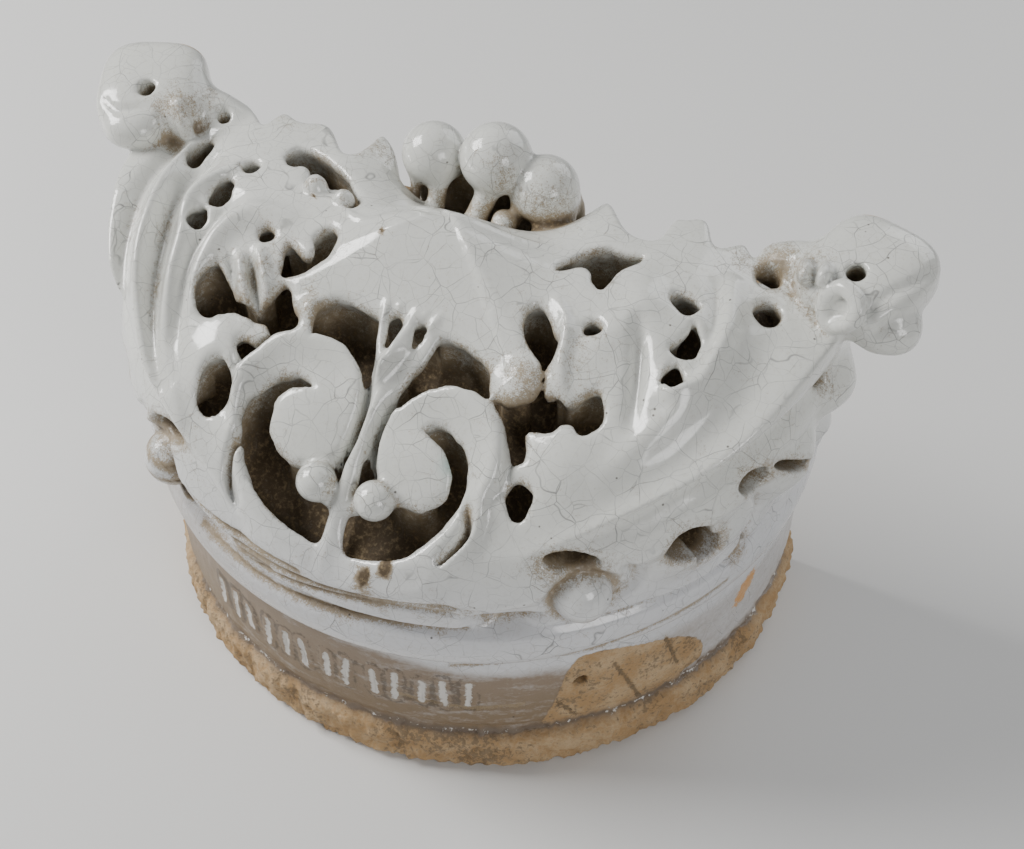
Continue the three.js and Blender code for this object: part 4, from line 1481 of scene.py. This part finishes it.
    def _craze(self, tree: Tree, place: bpy.types.NodeSocket, middle: Value) -> Value:
        """Net of fine cracks: edges of wandering cells of two sizes, stronger in places."""
        shift = tree.node("ShaderNodeTexNoise", {}, {"Vector": place, "Scale": 45.0, "Detail": 2.0})
        moved = tree.node("ShaderNodeVectorMath", {"operation": "SCALE"}, {
            0: shift.outputs["Color"], "Scale": 0.009}).outputs[0]
        wandering = tree.node("ShaderNodeVectorMath", {"operation": "ADD"}, {
            0: place, 1: moved}).outputs[0]
        lines = None
        for size, width, strength in ((self.cell, 0.011, 0.5), (2.1 * self.cell, 0.0065, 0.85)):
            cells = tree.node("ShaderNodeTexVoronoi", {"feature": "DISTANCE_TO_EDGE"}, {
                "Vector": wandering, "Scale": 1.0 / size})
            line = (1.0 - Value(tree, cells.outputs["Distance"]).step(0.0, 2.2 * width)) * strength
            lines = line if lines is None else lines.larger(line)
        return lines * middle.step(0.2, 0.75)

    def _pits(self, tree: Tree, place: bpy.types.NodeSocket) -> Value:
        """Pin holes in the glaze: a small dot in about one cell in seven."""
        cells = tree.node("ShaderNodeTexVoronoi", {"feature": "F1"}, {
            "Vector": place, "Scale": 150.0})
        chance = tree.node("ShaderNodeSeparateColor", {}, {0: cells.outputs["Color"]}).outputs[0]
        dot = 1.0 - Value(tree, cells.outputs["Distance"]).step(0.06, 0.11)
        return dot * Value(tree, chance).step(0.84, 0.86) * 0.8


@dataclass(frozen=True)
class PaleFloor:
    """Plain pale studio floor."""

    colour: Colour = (0.72, 0.72, 0.71)
    size: float = 16.0

    def build(self) -> bpy.types.Object:
        """Makes the floor.

        Returns:
            The floor's object.
        """
        half = self.size / 2
        corners = [(-half, -half, 0), (half, -half, 0), (half, half, 0), (-half, half, 0)]
        mesh = bpy.data.meshes.new("floor")
        mesh.from_pydata(corners, [], [(0, 1, 2, 3)])
        floor = bpy.data.objects.new("floor", mesh)
        bpy.context.collection.objects.link(floor)
        tree = Tree("pale_floor")
        soft = tree.noise(tree.place(), 3.0)
        shade = tree.mix(soft * 0.2, self.colour, tuple(0.94 * c for c in self.colour))
        shader = tree.node("ShaderNodeBsdfPrincipled", {}, {"Base Color": shade, "Roughness": 0.7})
        tree.node("ShaderNodeOutputMaterial", {}, {"Surface": shader.outputs[0]})
        mesh.materials.append(tree.material)
        return floor


@dataclass(frozen=True)
class Studio:
    """Camera at the photograph's angle, and soft lights round the cap."""

    eye: Point3 = (1.3066, -2.9357, 3.8406)
    forward: Point3 = (-0.26311, 0.6292, -0.73135)
    upward: Point3 = (-0.28216, 0.67473, 0.682)
    lens: float = 52.257

    def camera(self) -> bpy.types.Object:
        """Places the camera, its eye given in shares of the drum's radius.

        Returns:
            The camera's object.
        """
        data = bpy.data.cameras.new("camera")
        data.lens, data.sensor_width, data.sensor_fit = self.lens, 36.0, "HORIZONTAL"
        camera = bpy.data.objects.new("camera", data)
        bpy.context.collection.objects.link(camera)
        back, up = -Vector(self.forward).normalized(), Vector(self.upward).normalized()
        right = up.cross(back).normalized()
        turn = Matrix((right, back.cross(right), back)).transposed().to_4x4()
        camera.matrix_world = Matrix.Translation(Vector(self.eye) * DRUM_RADIUS) @ turn
        bpy.context.scene.camera = camera
        return camera

    def light(self, name: str, place: Point3, size: float, power: float, colour: Colour) -> None:
        """Adds a square soft light that points at the middle of the cap.

        Args:
            name: the light's name.
            place: where it stands, in metres.
            size: its width in metres.
            power: its power in watts.
            colour: its colour.
        """
        data = bpy.data.lights.new(name, "AREA")
        data.size, data.energy, data.color = size, power, colour
        lamp = bpy.data.objects.new(name, data)
        lamp.location = place
        aim = Vector((0.0, -0.06, 0.15)) - Vector(place)
        lamp.rotation_euler = aim.to_track_quat("-Z", "Y").to_euler()
        bpy.context.collection.objects.link(lamp)

    def build(self) -> None:
        """Sets up the camera, the lights and the even surround."""
        self.camera()
        self.light("key", (-1.35, -0.25, 1.25), 0.85, 43.0, (1.0, 0.99, 0.97))
        self.light("rim", (0.7, 1.4, 1.1), 1.3, 11.0, (0.98, 0.99, 1.0))
        self.light("fill", (1.5, -1.1, 1.0), 0.8, 13.0, (1.0, 0.99, 0.98))
        world = bpy.data.worlds.new("surround")
        world.use_nodes = True
        sky = world.node_tree.nodes["Background"]
        sky.inputs["Color"].default_value = (0.86, 0.87, 0.9, 1.0)
        sky.inputs["Strength"].default_value = 0.28
        bpy.context.scene.world = world


def main() -> None:
    """Builds the cap, its finish, the floor and the studio, in that order."""
    logging.basicConfig(level=logging.INFO, format="%(name)s: %(message)s")
    cap = Cap()
    cap.model()
    piece = cap.mesh()
    cap.masks(piece)
    piece.data.materials.clear()
    piece.data.materials.append(GlazedClay().material())
    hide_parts(NODE)
    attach(piece, "root")
    LOG.info("cap dressed")
    PaleFloor().build()
    LOG.info("floor laid")
    Studio().build()
    LOG.info("camera and lights set")


if __name__ == "__main__":
    main()
